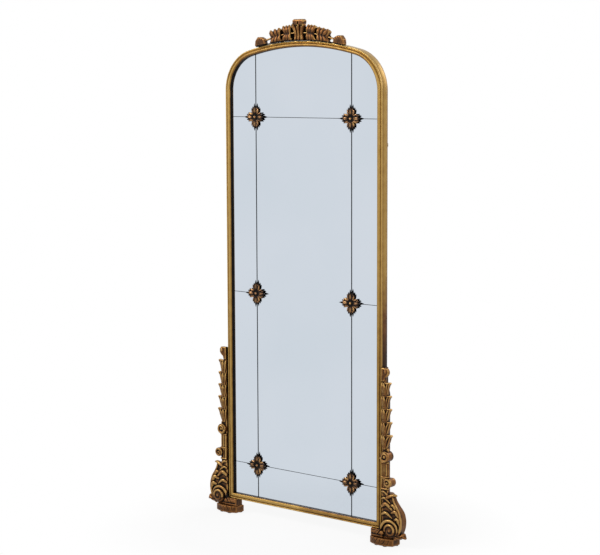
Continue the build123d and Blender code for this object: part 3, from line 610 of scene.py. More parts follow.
def whorl_tree() -> ShapeTree:
    """Tree that sets petals round a middle, turned about Y, beside the seed's own mesh."""
    shape = ShapeTree("petals_round_hub", {"Petal": "Object", "Count": "Int", "Place": "Vector"})
    add, count = shape.graph.add, shape.inputs["Count"]
    points = add("GeometryNodePoints", {"Count": count}).outputs[0]
    share = shape.graph.math("DIVIDE", add("GeometryNodeInputIndex").outputs[0], count)
    angle = shape.graph.math("MULTIPLY", share, 2 * math.pi)
    turn = add("ShaderNodeCombineXYZ", {"Y": angle}).outputs[0]
    ring = {"Points": points, "Instance": shape.held("Petal"), "Rotation": turn}
    petals = add("GeometryNodeInstanceOnPoints", ring).outputs[0]
    both = add("GeometryNodeJoinGeometry", {"Geometry": petals})
    shape.tree.links.new(shape.inputs["Geometry"], both.inputs["Geometry"])
    move = {"Geometry": both.outputs[0], "Translation": shape.inputs["Place"]}
    shape.close(add("GeometryNodeTransform", move).outputs[0])
    return shape


def repeat_tree() -> ShapeTree:
    """Tree that sets one shape on every vertex of the seed."""
    shape = ShapeTree("shape_on_places", {"Shape": "Object"})
    add = shape.graph.add
    points = add("GeometryNodeMeshToPoints", {"Mesh": shape.inputs["Geometry"]}).outputs[0]
    copies = {"Points": points, "Instance": shape.held("Shape")}
    shape.close(add("GeometryNodeInstanceOnPoints", copies).outputs[0])
    return shape


# Finishes


@dataclass(frozen=True)
class Finish:
    """A surface finish. Each kind makes one procedural material."""

    name: str

    def material(self) -> bpy.types.Material:
        """The material, made on first use."""
        label = self.name + "_finish"
        found = bpy.data.materials.get(label)
        if found is None:
            found = bpy.data.materials.new(label)
            found.use_nodes = True
            self.paint(Graph(found.node_tree))
        return found

    def paint(self, graph: Graph) -> None:
        """Fill the material's node tree."""
        raise NotImplementedError

    def dress(self, shape: bpy.types.Object) -> None:
        """Make this an object's only material."""
        shape.data.materials.clear()
        shape.data.materials.append(self.material())

    @staticmethod
    def noise(graph: Graph, scale: float, detail: float) -> bpy.types.NodeSocket:
        """Grain on Object coordinates, from 0 to 1."""
        place = graph.add("ShaderNodeTexCoord").outputs["Object"]
        inputs = {"Vector": place, "Scale": scale, "Detail": detail}
        return graph.add("ShaderNodeTexNoise", inputs).outputs["Fac"]

    @staticmethod
    def relief(
        graph: Graph, height: bpy.types.NodeSocket, strength: float, distance: float
    ) -> bpy.types.NodeSocket:
        """Normal of a fine relief."""
        inputs = {"Height": height, "Strength": strength, "Distance": distance}
        return graph.add("ShaderNodeBump", inputs).outputs[0]

    @staticmethod
    def cover(graph: Graph, inputs: dict[str, object]) -> None:
        """End the tree in one principled shader."""
        shader = graph.add("ShaderNodeBsdfPrincipled", inputs)
        graph.add("ShaderNodeOutputMaterial", {"Surface": shader.outputs[0]})

    @staticmethod
    def ramp(
        graph: Graph, amount: bpy.types.NodeSocket, stops: Iterable[tuple[float, Colour]]
    ) -> bpy.types.NodeSocket:
        """Colour looked up along stops."""
        node = graph.add("ShaderNodeValToRGB", {"Fac": amount})
        bar = node.color_ramp.elements
        bar.remove(bar[1])
        for k, (place, colour) in enumerate(stops):
            element = bar.new(place) if k else bar[0]
            element.position = place
            element.color = (*colour, 1)
        return node.outputs["Color"]

    @staticmethod
    def spread(
        graph: Graph, amount: bpy.types.NodeSocket, low: float, high: float
    ) -> bpy.types.NodeSocket:
        """Stretch an amount from 0 to 1 over a range."""
        inputs = {"Value": amount, "To Min": low, "To Max": high}
        return graph.add("ShaderNodeMapRange", inputs).outputs[0]


@dataclass(frozen=True)
class AgedMetal(Finish):
    """Metallic paint rubbed off ridges and darkened in hollows, with the painted light and shade
    that the rub carries in places.
    """

    stops: tuple[tuple[float, Colour], ...]
    mottle: float = 0.35
    grain: float = 0.18
    metallic: float = 0.85
    smooth: float = 0.36
    rough: float = 0.6
    cloud: Flat = (42, 5)
    speck: Flat = (420, 3)
    bump: Flat = (0.15, 0.0003)

    def paint(self, graph: Graph) -> None:
        """Fill the material's node tree."""
        # The rub read here is wear and patina, and in places painted light and shade.
        brightness = graph.add("ShaderNodeAttribute", attribute_name=RUB_AND_LIGHT).outputs["Fac"]
        cloud, speck = self.noise(graph, *self.cloud), self.noise(graph, *self.speck)
        for noise, amount in ((cloud, self.mottle), (speck, self.grain)):
            brightness = graph.math("MULTIPLY_ADD", graph.math("SUBTRACT", noise, 0.5), amount, brightness)
        inputs = {
            "Base Color": self.ramp(graph, brightness, self.stops),
            "Metallic": self.metallic,
            "Roughness": self.spread(graph, brightness, self.rough, self.smooth),
            "Normal": self.relief(graph, speck, *self.bump),
        }
        self.cover(graph, inputs)


@dataclass(frozen=True)
class SilveredGlass(Finish):
    """Mirror plate: silver with a faint cloud, dark ground edges and back."""

    silver: tuple[Colour, Colour]
    edge: tuple[Colour, Colour]
    cloud: Flat = (2.2, 2)
    grind: Flat = (300, 2)
    facing: float = -0.7
    rough: Flat = (0.4, 0.03)

    def paint(self, graph: Graph) -> None:
        """Fill the material's node tree."""
        face = self.ramp(graph, self.noise(graph, *self.cloud), zip(GRAIN_STOPS, self.silver))
        ground = self.ramp(graph, self.noise(graph, *self.grind), zip(GRAIN_STOPS, self.edge))
        normal = graph.add("ShaderNodeTexCoord").outputs["Normal"]
        forward = graph.add("ShaderNodeSeparateXYZ", {"Vector": normal}).outputs["Y"]
        front = graph.math("LESS_THAN", forward, self.facing)
        colour = graph.add("ShaderNodeMixRGB", {"Fac": front, "Color1": ground, "Color2": face})
        inputs = {
            "Base Color": colour.outputs[0],
            "Metallic": front,
            "Roughness": self.spread(graph, front, *self.rough),
        }
        self.cover(graph, inputs)


@dataclass(frozen=True)
class Grained(Finish):
    """Plain stuff with a grain: board, wood, felt, rubber or steel."""

    colours: tuple[Colour, Colour]
    scale: float
    rough: Flat
    metallic: float = 0.0
    detail: float = 5
    bump: Flat = (0.2, 0.0004)

    def paint(self, graph: Graph) -> None:
        """Fill the material's node tree."""
        grain = self.noise(graph, self.scale, self.detail)
        inputs = {
            "Base Color": self.ramp(graph, grain, zip(GRAIN_STOPS, self.colours)),
            "Metallic": self.metallic,
            "Roughness": self.spread(graph, grain, *self.rough),
            "Normal": self.relief(graph, grain, *self.bump),
        }
        self.cover(graph, inputs)


INK = (0.005, 0.0035, 0.003)
UMBER = (0.035, 0.016, 0.007)
BRONZE = (0.128, 0.0515, 0.0142)
RUSSET = (0.23, 0.0975, 0.0265)
GOLD = (0.325, 0.188, 0.044)
PALE_GOLD = (0.48, 0.315, 0.1)
WORN_GOLD = (0.38, 0.225, 0.07)
COPPER = (0.37, 0.19, 0.085)

MOULDING_GOLD = AgedMetal(
    "moulding_gold",
    ((0.0, INK), (0.2, UMBER), (0.4, BRONZE), (0.66, GOLD), (1.0, PALE_GOLD)),
    mottle=0.3,
    grain=0.07,
    smooth=0.32,
)
CARVED_GOLD = AgedMetal(
    "carved_gold",
    ((0.22, INK), (0.4, UMBER), (0.62, BRONZE), (0.86, RUSSET), (1.0, WORN_GOLD)),
    mottle=0.65,
    grain=0.3,
)
ROSETTE_BRONZE = AgedMetal(
    "rosette_bronze",
    ((0.42, INK), (0.64, UMBER), (0.86, COPPER), (1.0, WORN_GOLD)),
    mottle=0.7,
    grain=0.3,
    smooth=0.25,
)
PLATE = SilveredGlass(
    "mirror_plate",
    ((0.60, 0.66, 0.725), (0.635, 0.685, 0.75)),
    ((0.012, 0.014, 0.014), (0.03, 0.034, 0.034)),
)
BOARD = Grained("black_board", ((0.008, 0.007, 0.006), (0.02, 0.018, 0.016)), 60, (0.6, 0.8))
STEEL = Grained("plated_steel", ((0.42, 0.40, 0.34), (0.62, 0.60, 0.55)), 120, (0.25, 0.45), 1.0)
RUBBER = Grained("black_rubber", ((0.012, 0.012, 0.012), (0.03, 0.03, 0.03)), 200, (0.7, 0.9))
WOOD = Grained("dowel_wood", ((0.42, 0.27, 0.13), (0.58, 0.40, 0.22)), 90, (0.55, 0.75))
FELT_COLOURS = ((0.05, 0.04, 0.035), (0.11, 0.09, 0.08))
FELT = Grained("felt", FELT_COLOURS, 900, (0.9, 1.0), bump=(0.8, 0.0004))


# Sub-assemblies


@dataclass
class Piece:
    """An object that stands for CAD nodes on one body."""

    shape: bpy.types.Object
    finish: Finish
    slot: str
    nodes: tuple[str, ...]
    body: str = ROOT

    def settle(self) -> None:
        """Paint the object and tie it to the frame."""
        self.finish.dress(self.shape)
        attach(self.shape, self.body)
        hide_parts(*self.nodes)
        count = len(self.shape.data.polygons)
        log.info("%s: %d faces for %s", self.shape.name, count, ", ".join(self.nodes))


def corners(node: str) -> tuple[np.ndarray, np.ndarray]:
    """Lowest and highest corner of a CAD node in millimetres."""
    low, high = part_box(node)
    return np.array(low) / MM, np.array(high) / MM


@dataclass(frozen=True)
class Datum:
    """Places read from the frame, in millimetres: stile side, frame front, bottom, spring of the
    head and crown.
    """

    edge: float
    front: float
    bottom: float
    spring: float
    crown: float
    corner_radius: float = 150.0

    @classmethod
    def read(cls) -> "Datum":
        """Read the places from the frame's CAD nodes."""
        stile_low, stile_high = corners("frame_stile_right")
        head_low, head_high = corners("frame_head")
        return cls(stile_high[0], stile_low[1], stile_low[2], head_low[2], head_high[2])

    @property
    def crown_radius(self) -> float:
        """Radius of the flat arc over the middle, outside."""
        rise = self.crown - self.spring
        side = self.edge - self.corner_radius
        return (side**2 + rise**2 - self.corner_radius**2) / (2 * (rise - self.corner_radius))

    @property
    def crown_centre(self) -> float:
        """Height of the flat arc's centre."""
        return self.crown - self.crown_radius

    def side(self, out: float, depth: float, level: float) -> Point:
        """Place measured outwards from the right stile and back from the frame's front."""
        return (self.edge + out, self.front + depth, level)

    def top(self, x: float, depth: float, rise: float) -> Point:
        """Place measured from the crown's middle."""
        return (x, self.front + depth, self.crown + rise)


@dataclass
class MouldedFrame:
    """Head, stiles and bottom rail, run from one moulding."""

    datum: Datum
    face: float = 21.0
    depth: float = 38.0
    bead: float = 13.0
    bead_rise: float = 4.5
    quirk: float = 3.0
    quirk_depth: float = 5.6
    edge_depth: float = 9.5
    groove: float = 1.4
    chamfer: float = 1.5
    rebate: float = 7.0
    seat: float = 13.0
    arc_step: float = 1.2
    fade_low: float = 620.0
    fade_high: float = 980.0
    crown_low: float = 1640.0
    crown_reach: float = 80.0
    left_gain: float = 1.16
    sight_lip: float = 2.0
    arris: float = 0.4
    bead_rub: Point = (0.42, 0.82, 0.66)
    outer_rub: Point = (0.66, 0.85, 0.75)
    bead_steps: int = 14
    outer_steps: int = 10
    stile_steps: int = 40
    rail_steps: int = 24
    sharp: float = 50.0
    part_gap: float = 0.1
    crown_gains: Point = (-0.3, 0.8, 0.2)
    fade_band: float = 0.16
    fade_front: Flat = (0.9, 0.78)

    def section(self) -> list[Point]:
        """Closed section as rows of width outwards, depth and rub."""
        rows = [(0.0, self.seat, 0.0), (0.0, self.bead_rise + self.sight_lip, 0.02)]
        rows += self._round(0, self.bead, self.bead_rise, self.bead_steps, self.bead_rub)
        start = self.bead + self.quirk
        width = self.face - start
        rows += [(self.bead + self.quirk / 2, self.quirk_depth, 0.55)]
        rows += self._round(start, width, width / 2, self.outer_steps, self.outer_rub)
        band = self.face - self.arris
        low = self.edge_depth + self.groove
        rows += [
            (self.face, self.edge_depth - 2 * self.arris, 0.7),
            (band, self.edge_depth, 0.6),
            (self.face - self.groove, low, 0.35),
            (band - 0.3, low + self.groove, 0.6),
            (band, low + self.groove + 0.9, 0.72),
            (band, (low + self.depth) / 2, 0.72),
            (band, self.depth - self.chamfer, 0.6),
            (band - self.chamfer, self.depth, 0.12),
            (self.rebate, self.depth, 0.05),
            (self.rebate, self.seat, 0.05),
        ]
        return rows

    def _round(
        self, start: float, width: float, rise: float, steps: int, rub: Point
    ) -> list[Point]:
        """Half-oval bead with its rub given at its inner edge, its top and its outer edge."""
        rows = []
        for angle in np.linspace(0, math.pi, steps):
            out = start + width / 2 * (1 - math.cos(angle))
            bright = float(np.interp(angle, (0, math.pi / 2, math.pi), rub))
            rows.append((out, self.bead_rise - rise * math.sin(angle), bright))
        return rows

    def paths(self) -> dict[str, list[Point]]:
        """Path of the sight edge for each frame node, run so that the section lies outwards."""
        d = self.datum
        y = d.front
        sight = d.edge - self.face
        centre = d.edge - d.corner_radius
        turn = math.pi / 2 - math.asin(centre / (d.crown_radius - d.corner_radius))
        steps = int(math.degrees(turn) / self.arc_step)
        inner, flat = d.corner_radius - self.face, d.crown_radius - self.face
        right = self._arc((centre, d.spring), inner, np.linspace(0, turn, steps))
        crown = np.linspace(turn, math.pi - turn, steps)[1:-1]
        middle = self._arc((0.0, d.crown_centre), flat, crown)
        left = [(-px, py, pz) for px, py, pz in reversed(right)]
        low = d.bottom
        heights = np.linspace(low, d.spring, self.stile_steps)
        across = np.linspace(-d.edge, d.edge, self.rail_steps)
        return {
            "frame_head": right + middle + left,
            "frame_stile_right": [(sight, y, z) for z in heights],
            "frame_stile_left": [(-sight, y, z) for z in reversed(heights)],
            "frame_bottom_rail": [(x, y, low + self.face) for x in across],
        }

    def _arc(self, centre: Flat, radius: float, turns: Iterable[float]) -> list[Point]:
        """Points on an arc in the plane of the frame's front."""
        (x, z), y = centre, self.datum.front
        return [(x + radius * math.cos(a), y, z + radius * math.sin(a)) for a in turns]

    def build(self, sweep: ShapeTree) -> list[Piece]:
        """Run the section along each path, mitre the bottom corners and rub the edges."""
        rows = np.array(self.section())
        places = np.stack([-rows[:, 1], rows[:, 0], np.zeros(len(rows))], axis=1)
        section = edge_loop("moulding_section", places, closed=True)
        pieces = []
        for node, path in self.paths().items():
            seed = edge_loop("path", np.array(path), closed=False)
            bar = sweep.bake(node + "_moulding", seed, MOULDING_GOLD, Section=section)
            self._mitre(bar, node)
            self._rub(bar, rows)
            face_outwards(bar)
            bar.data.set_sharp_from_angle(angle=math.radians(self.sharp))
            pieces.append(Piece(bar, MOULDING_GOLD, "gold_moulding", (node,)))
        bpy.data.objects.remove(section)
        return pieces

    def _mitre(self, bar: bpy.types.Object, node: str) -> None:
        """Slope the ends that meet at the bottom corners."""
        verts = read_verts(bar)
        if "stile" in node:
            limit = self.datum.bottom + self.datum.edge - np.abs(verts[:, 0])
            verts[:, 2] = np.maximum(verts[:, 2], limit)
        elif "rail" in node:
            limit = self.datum.edge - (verts[:, 2] - self.datum.bottom)
            verts[:, 0] = np.clip(verts[:, 0], -limit, limit)
        bar.data.vertices.foreach_set("co", (verts * MM).astype(np.float32).ravel())

    def _rub(self, bar: bpy.types.Object, rows: np.ndarray) -> None:
        """Store the rub, with the side band dark low down. At the crown the inner bead is painted
        darker to tone down its highlight, and the quirk and outer part are painted lighter against
        their shade; the left stile is painted lighter for the less light it gets.
        """
        verts = read_verts(bar)
        x, y, z = verts.T
        out, rub = (np.resize(rows[:, column], len(verts)) for column in (0, 2))
        # Painted light at the crown: the inner bead is darkened against its highlight, and the
        # quirk and outer part are lightened against their shade.
        high = np.clip((z - self.crown_low) / self.crown_reach, 0, 1)
        ends = (self.bead - self.part_gap, self.bead + self.quirk - self.part_gap)
        *inner, outer = self.crown_gains
        rub = rub * (1 + np.select([out < end for end in ends], inner, outer) * high)
        share = np.clip((z - self.fade_low) / (self.fade_high - self.fade_low), 0, 1)
        behind = y > self.datum.front + self.edge_depth + self.groove
        low = np.where(behind, self.fade_band, np.where(x < 0, *self.fade_front))
        rub = rub * (low + (1 - low) * share)
        # Painted light: the left stile is made lighter, as it gets less light than the right.
        rub = np.where((x < 0) & (z < self.crown_low), rub * self.left_gain, rub)
        store_rub(bar.data, rub)


def carved_pair(right: Surface, node: str, left_gain: float = 1.0) -> list[Piece]:
    """Right-hand piece and its mirror image.

    Args:
        right: Surface of the right-hand piece.
        node: Name of the CAD nodes, without their side.
        left_gain: Factor on the rub of the left-hand piece, painted light that makes it lighter
            where it gets less light.

    Returns:
        The right-hand piece, then the left-hand one.
    """
    image = right.mirrored()
    pieces = []
    # Painted light: the left-hand piece's rub is raised by the factor.
    for side, made in ((Side.RIGHT, right), (Side.LEFT, image.with_rub(image.rub * left_gain))):
        name = f"{node}_{side.word}"
        pieces.append(Piece(made.piece(name + "_carved"), CARVED_GOLD, "carved_gold", (name,)))
    return pieces


def shaded_inside(
    made: Surface, edge: float, start: float = 3.5, reach: float = 1.5, floor: float = 57.0
) -> Surface:
    """Surface with painted shade close to the stile, where the carving lies in the stile's shade.

    Args:
        made: Surface to shade.
        edge: Outer side of the stile.
        start: Distance from the stile where the painted shade starts to lift.
        reach: Distance over which the rub grows back to full.
        floor: Level under the stile, below which the rub is lowered evenly instead.

    Returns:
        The shaded surface.
    """
    # Painted shade: next to the stile the rub drops to a dark share, as the carving's side there
    # lies in shade; below the stile it is lowered evenly.
    dark, below = 0.15, 0.8
    share = np.clip((made.verts[:, 0] - edge - start) / reach, 0, 1)
    outside = np.where(made.verts[:, 2] > floor, dark + (1 - dark) * share, below)
    return made.with_rub(made.rub * outside)


def evened_sides(
    made: Surface, front: float, start: float = 3.0, reach: float = 6.0, neck: float = 205.0
) -> Surface:
    """Surface with an even rub on its sides, away from the carved front, lighter above the neck,
    partly as a painted highlight.

    Args:
        made: Surface to even out.
        front: Y of the frame's front.
        start: Depth behind the front where the change starts.
        reach: Depth over which it is made.
        neck: Level above which the sides are lighter, partly the gold's own tone and partly a
            painted highlight on the scroll's side.

    Returns:
        The evened surface.
    """
    body_rub, neck_tone_and_highlight, keep = 0.68, 0.86, 0.3
    share = np.clip((made.verts[:, 1] - front - start) / reach, 0, 1)
    # Above the neck the sides are painted lighter, partly the gold's tone and partly a painted
    # highlight.
    target = np.where(made.verts[:, 2] > neck, neck_tone_and_highlight, body_rub)
    even = np.minimum(made.rub, target) * keep + target * (1 - keep)
    return made.with_rub(made.rub + share * (even - made.rub))


def edge_loop(name: str, points: np.ndarray, closed: bool) -> bpy.types.Object:
    """Object of edges through points in millimetres."""
    mesh = bpy.data.meshes.new(name)
    count = len(points)
    edges = [(k, (k + 1) % count) for k in range(count if closed else count - 1)]
    mesh.from_pydata((points * MM).tolist(), edges, [])
    return linked(name, mesh)


def read_verts(shape: bpy.types.Object) -> np.ndarray:
    """Vertices of an object's mesh in millimetres."""
    found = np.empty(len(shape.data.vertices) * 3, np.float32)
    shape.data.vertices.foreach_get("co", found)
    return found.reshape(-1, 3).astype(float) / MM


def face_outwards(shape: bpy.types.Object) -> None:
    """Turn the faces of a closed mesh outwards, by the sign of its volume."""
    mesh = shape.data
    mesh.calc_loop_triangles()
    ids = np.empty(len(mesh.loop_triangles) * 3, np.int32)
    mesh.loop_triangles.foreach_get("vertices", ids)
    a, b, c = (read_verts(shape)[ids.reshape(-1, 3)[:, k]] for k in range(3))
    if np.einsum("ij,ij->i", a, np.cross(b, c)).sum() < 0:
        mesh.flip_normals()


@dataclass
class CarvedCrest:
    """Leaf spray on the crown: fluted stem with a knob, two leaf groups and a bud each side."""

    datum: Datum
    step: float = 1.15
    middle: float = -3.0
    height: float = 76.0
    knob: float = 26.5
    midrib: float = 28.0
    fall: float = 0.001
    bud: Flat = (179.5, -4.0)
    bud_rub: float = 0.98
    base: float = 4.0
    base_rub: float = 0.25
    seat_gap: float = 0.3
    bunches: tuple[Point, ...] = ((37.0, 78.0, 28.0), (83.0, 140.0, 25.0))
    lobes: int = 3
    lobe_down: float = 25.0
    scallop: float = 5.0

    def build(self) -> list[Piece]:
        """Carve the crest."""
        d = self.datum
        low, high = d.top(-209, -16, -30), d.top(209, 10, self.height + 1)
        block = Carving(low, high, self.step)
        self._ground(block)
        for sign in (-1, 1):
            self._spray(block, sign)
        self._stem(block)
        self._base(block)
        block.trim_below_arc(d.crown_centre, d.crown_radius + self.seat_gap)
        block.trim(Axis.Y, d.front + 9, keep_below=True)
        made = block.surface(5.5)
        x, _, z = made.verts.T
        brightness = np.where(abs(x) > self.bud[0] - 28, self.bud_rub, 1.0)
        rise = np.hypot(x, z - d.crown_centre) - d.crown_radius
        # Painted shadow: the rail along the arch is darkened as the crest's contact shadow.
        made = made.with_rub(made.rub * np.where(rise < self.base + 0.5, self.base_rub, brightness))
        return [Piece(made.piece("crest_carved"), CARVED_GOLD, "carved_gold", ("crest",))]

    def _at(self, x: float, rise: float, lift: float = 0.0) -> Point:
        """Place in the crest, lifted towards the front."""
        return self.datum.top(x, self.middle - lift, rise)

    def _rib(self, x: float) -> float:
        """Height of the midrib."""
        return self.midrib - self.fall * x * x

    def _ground(self, block: Carving) -> None:
        """Thin plate behind the leaves, open near the buds."""
        y = self.datum.front
        rises = ((0, 22), (45, 23), (80, 20), (118, 14), (136, 4))
        top = [(x, self._rib(x) + rise) for x, rise in rises]
        low = [(136, self._rib(136) - 8), (110, self._rib(110) - 20), (60, 0), (0, -6)]
        right = [(x, self.datum.crown + z) for x, z in top + low]
        block.slab(both_sides(right), y + 3, y + 9, 1.5)

    def _base(self, block: Carving) -> None:
        """Thin rail along the arch, from bud to bud, that stands for the crest's contact shadow on
        the arch and is painted dark.
        """
        radius = self.datum.crown_radius + self.base / 2
        places = np.linspace(-self.bud[0] - 12, self.bud[0] + 12, 40)
        y, centre = self.datum.front + 2, self.datum.crown_centre
        path = [(x, y, centre + math.sqrt(radius**2 - x * x)) for x in places]
        block.stroke(path, (self.base / 2, self.base / 2), 2.5)

    def _stem(self, block: Carving) -> None:
        """Fluted stem, spread at its foot and top, and the notched knob."""
        steps = ((8.2, -5, 0), (6.6, 20, 1), (7.8, 36, 3), (11.0, 54, 5))
        for k in range(-2, 3):
            ridge = k % 2 == 0
            proud, radii = (0, (7.2, 5.6, 6.2, 8.0)) if ridge else (8, (3.0, 2.4, 2.6, 2.6))
            path = curve([self._at(out * k, rise, lift + proud) for out, rise, lift in steps])
            block.stroke(path, radii, 1.5, 0.5, cut=not ridge)
        z, w = self.datum.crown + self.height, self.knob
        knob = both_sides(((w - 6, z - 23), (w - 1, z - 16), (w, z - 5), (w - 6, z)))
        block.slab(knob, self.datum.front - 15, self.datum.front + 8, 6, blend=1)
        block.ball(self._at(0, self.height - 13, 14), (3.5, 8, 4.5), 2, cut=True)

    def _spray(self, block: Carving, sign: int) -> None:
        """Leaf bunches of one side on their stalk, and the bud at its end."""
        for start, end, rise in self.bunches:
            self._bunch(block, sign, start, end, rise)
        path = [self._at(sign * x, self._rib(x), -1) for x in range(6, 166, 8)]
        block.stroke(path, (3.2, 3.2), 1.8, 0.8)
        self._bud(block, sign)

    def _bunch(self, block: Carving, sign: int, start: float, end: float, rise: float) -> None:
        """Broad leaf, scalloped above and below the stalk, with a swelling fold in each lobe."""
        top, low = [], []
        for share in np.linspace(0, 1, 6 * self.lobes + 1):
            x = start + (end - start) * share
            dip = self.scallop * (1 - abs(math.sin(math.pi * self.lobes * share)))
            top.append((x, self._rib(x) + rise - dip))
            low.append((x - 4, self._rib(x) - self.lobe_down + dip))
        waist = [(end - 10, self._rib(end - 10)), (start + 5, self._rib(start + 5))]
        rim = top + waist[:1] + low[::-1] + waist[1:]
        d = self.datum
        block.slab([(sign * x, d.crown + z) for x, z in rim], d.front - 10, d.front + 8, 4.5)
        for lobe in range(self.lobes):
            tip = start + (end - start) * (lobe + 0.5) / self.lobes
            root = 0.6 * tip + 0.4 * start
            for up, reach in ((1, rise), (-1, self.lobe_down)):
                steps = ((root, 0.1, 6.5), (0.5 * (root + tip), 0.5, 7.5), (tip, 0.9, 3.5))
                fold = [
                    self._at(sign * x, self._rib(x) + up * reach * share, lift)
                    for x, share, lift in steps
                ]
                block.stroke(curve(fold), (4.0, 7.0, 6.0), 0.5, 2.5)

    def _bud(self, block: Carving, sign: int) -> None:
        """Blunt bud with slanting grooves."""
        x, rise = self.bud
        rim = ((-26, -5), (-21, 13), (-6, 20), (13, 20), (24, 6), (26, -11), (17, -20), (-12, -18))
        outline = [(sign * (x + a), self.datum.crown + rise + b) for a, b in rim]
        block.slab(outline, self.datum.front - 12, self.datum.front + 8, 6)
        for shift in (-15, -5, 5, 15):
            slope = ((-8, 18, 8), (0, 2, 11), (9, -18, 8))
            path = curve([self._at(sign * (x + shift + a), rise + b, lift) for a, b, lift in slope])
            block.stroke(path, (0.7, 1.2, 0.7), 1.2, 1.2, cut=True)


@dataclass
class CarvedPilaster:
    """Chain of husks beside a stile, with a bud on top, a volute and a reeded shaft below."""

    datum: Datum
    step: float = 1.0
    bottom: float = 245.0
    neck: float = 590.0
    cap: Flat = (23.5, 623.0)
    husk_count: int = 5
    husk_top: float = 585.0
    husk_pitch: float = 46.5
    husk_reach: float = 42.0
    husk_growth: float = 1.4
    volute: Flat = (24.0, 321.0)
    volute_radius: float = 20.0
    rib: Flat = (0.2, 18.0)
    rib_top: float = 9.0
    rib_back: float = 32.0
    rib_rub: float = 0.5
    back: float = 11.0

    def build(self) -> list[Piece]:
        """Carve the right-hand pilaster and mirror it."""
        d = self.datum
        low = d.side(-0.5, CARVED_FRONT, self.bottom)
        block = Carving(low, d.side(53, self.rib_back + 0.5, 637), self.step)
        self._ground(block)
        for index in range(self.husk_count):
            self._husk(block, index)
        self._cap(block)
        self._volute(block)
        self._shaft(block)
        block.trim(Axis.Z, self.bottom + 0.1)
        block.trim(Axis.X, d.edge + self.rib[0])
        right = shaded_inside(block.surface(5.0, 0.05), d.edge)
        # Painted shade: the rib behind the body is darkened, where it lies in shade.
        behind = np.clip((right.verts[:, 1] - d.front - self.back) / 2, 0, 1)
        right = right.with_rub(right.rub * (1 - (1 - self.rib_rub) * behind))
        # The left-hand pilaster is painted a little lighter, as painted light.
        return carved_pair(right, "pilaster", 1.05)

    def _ground(self, block: Carving) -> None:
        """Plain body behind the carving, and the rib that it is fixed by."""
        d = self.datum

        def flat(*points: Flat) -> list[Flat]:
            """Outline in row X and Z."""
            return [(d.edge + out, level) for out, level in points]

        body = flat(
            (5, self.bottom), (34, self.bottom), (34, 345), (29, 352), (28, 455), (26, 509),
            (24, 552), (19, self.neck), (19, 604), (5, 604),
        )
        block.slab(body, d.front - 2, d.front + self.back, 3)
        inner, outer = self.rib
        rib = flat(
            (inner, self.bottom), (outer, self.bottom), (outer, 540), (self.rib_top, 580),
            (self.rib_top, 634), (inner, 634),
        )
        block.slab(rib, d.front + self.back - 4, d.front + self.rib_back, 1)

    def _husk(self, block: Carving, index: int) -> None:
        """One whorl of leaves: tips flare at the top, stems gather below."""
        at = self.datum.side
        top = self.husk_top - self.husk_pitch * index
        reach = self.husk_reach + self.husk_growth * index
        foot = top - self.husk_pitch - 2
        edge = self.datum.edge
        front = self.datum.front
        thorn = [(18, top - 1), (reach - 2, top + 1), (reach + 1, top - 3), (reach - 5, top - 11)]
        thorn += [(reach - 9, top - 24), (28, foot), (18, foot)]
        block.slab([(edge + out, level) for out, level in thorn], front - 4, front + 8, 1.2)
        outer = curve([at(20, -3, foot), at(25, -4, top - 24), at(reach - 12, -4, top - 6)])
        block.stroke(outer, (4.5, 5.4, 4.0, 2.0), 0.9)
        inner = curve([at(14, -3, foot), at(9, -4, top - 20), at(7, -3, top - 1)])
        block.stroke(inner, (4.5, 5, 4, 1.2), 0.9)
        middle = curve([at(18, -4, foot), at(18, -7, top - 22), at(18, -8, top - 3)])
        block.stroke(middle, (4, 7, 5.5, 1.2), 0.75)
        for out, lean in ((18, 0), (26, 2), (10, -2)):
            ends = at(out, -9.5, foot + 8), at(out + lean, -12, top - 5)
            vein = curve([ends[0], at(out + lean * 0.5, -12.5, top - 22), ends[1]])
            block.stroke(vein, (1.2, 1.6, 0.5), 1.4, 0.8, cut=True)
        parting = [at(6, -7, top - 2), at(reach - 12, -8, top + 2)]
        block.stroke(parting, (1.8, 1.3), 1, 0.6, cut=True)

    def _cap(self, block: Carving) -> None:
        """Bud on top that curls round an eye, with a vein beside it."""
        at = self.datum.side
        out, level = self.cap
        edge, front = self.datum.edge, self.datum.front
        body = [(4, 588), (17, 588), (20, 600), (29, 606)]
        body += [(35, 615), (35, 626), (29, 635), (4, 636)]
        block.slab([(edge + a, z) for a, z in body], front - 6, front + 8, 4)
        turns = ((20, -18), (14, -6), (16, 7), (26, 5))
        curl = curve([at(across, -8, level + rise) for across, rise in turns])
        block.stroke(curl, (1.4, 2.2, 2.0, 1.2), 1.2, 0.8, cut=True)
        block.ball(at(out, -3, level), (7, 6, 8.5), 1)
        vein = curve([at(10, -7, 588), at(11, -8, 604), at(8, -8, 626)])
        block.stroke(vein, (1.0, 1.4, 1.0), 1.2, 0.8, cut=True)

    def _volute(self, block: Carving) -> None:
        """Spiral scroll between the husks and the shaft."""
        at = self.datum.side
        out, level = self.volute
        x, y, z = at(out, -12, level)
        block.drum((x, z), self.volute_radius - 1, y - 0.5, y + 31, 2, 1)
        path = spiral((x, z), y, self.volute_radius - 4.4, 10.0, 200, 0.95)
        block.stroke(path, (4.4, 4.6, 3.6), 1.0)
        block.ball((x, y + 1, z), (6.0, 5, 6.0))

    def _shaft(self, block: Carving) -> None:
        """Reeds of the lower shaft between two rings."""
        at = self.datum.side
        top = self.volute[1] - self.volute_radius - 2
        for out in REEDS:
            block.stroke([at(out, -2, self.bottom + 8), at(out, -2, top - 2)], (4.3, 4.3), 1.1)
        for level in (self.bottom + 3, top + 1):
            block.stroke([at(7, -1, level), at(32, -1, level)], (3.4, 3.4), 1.9)


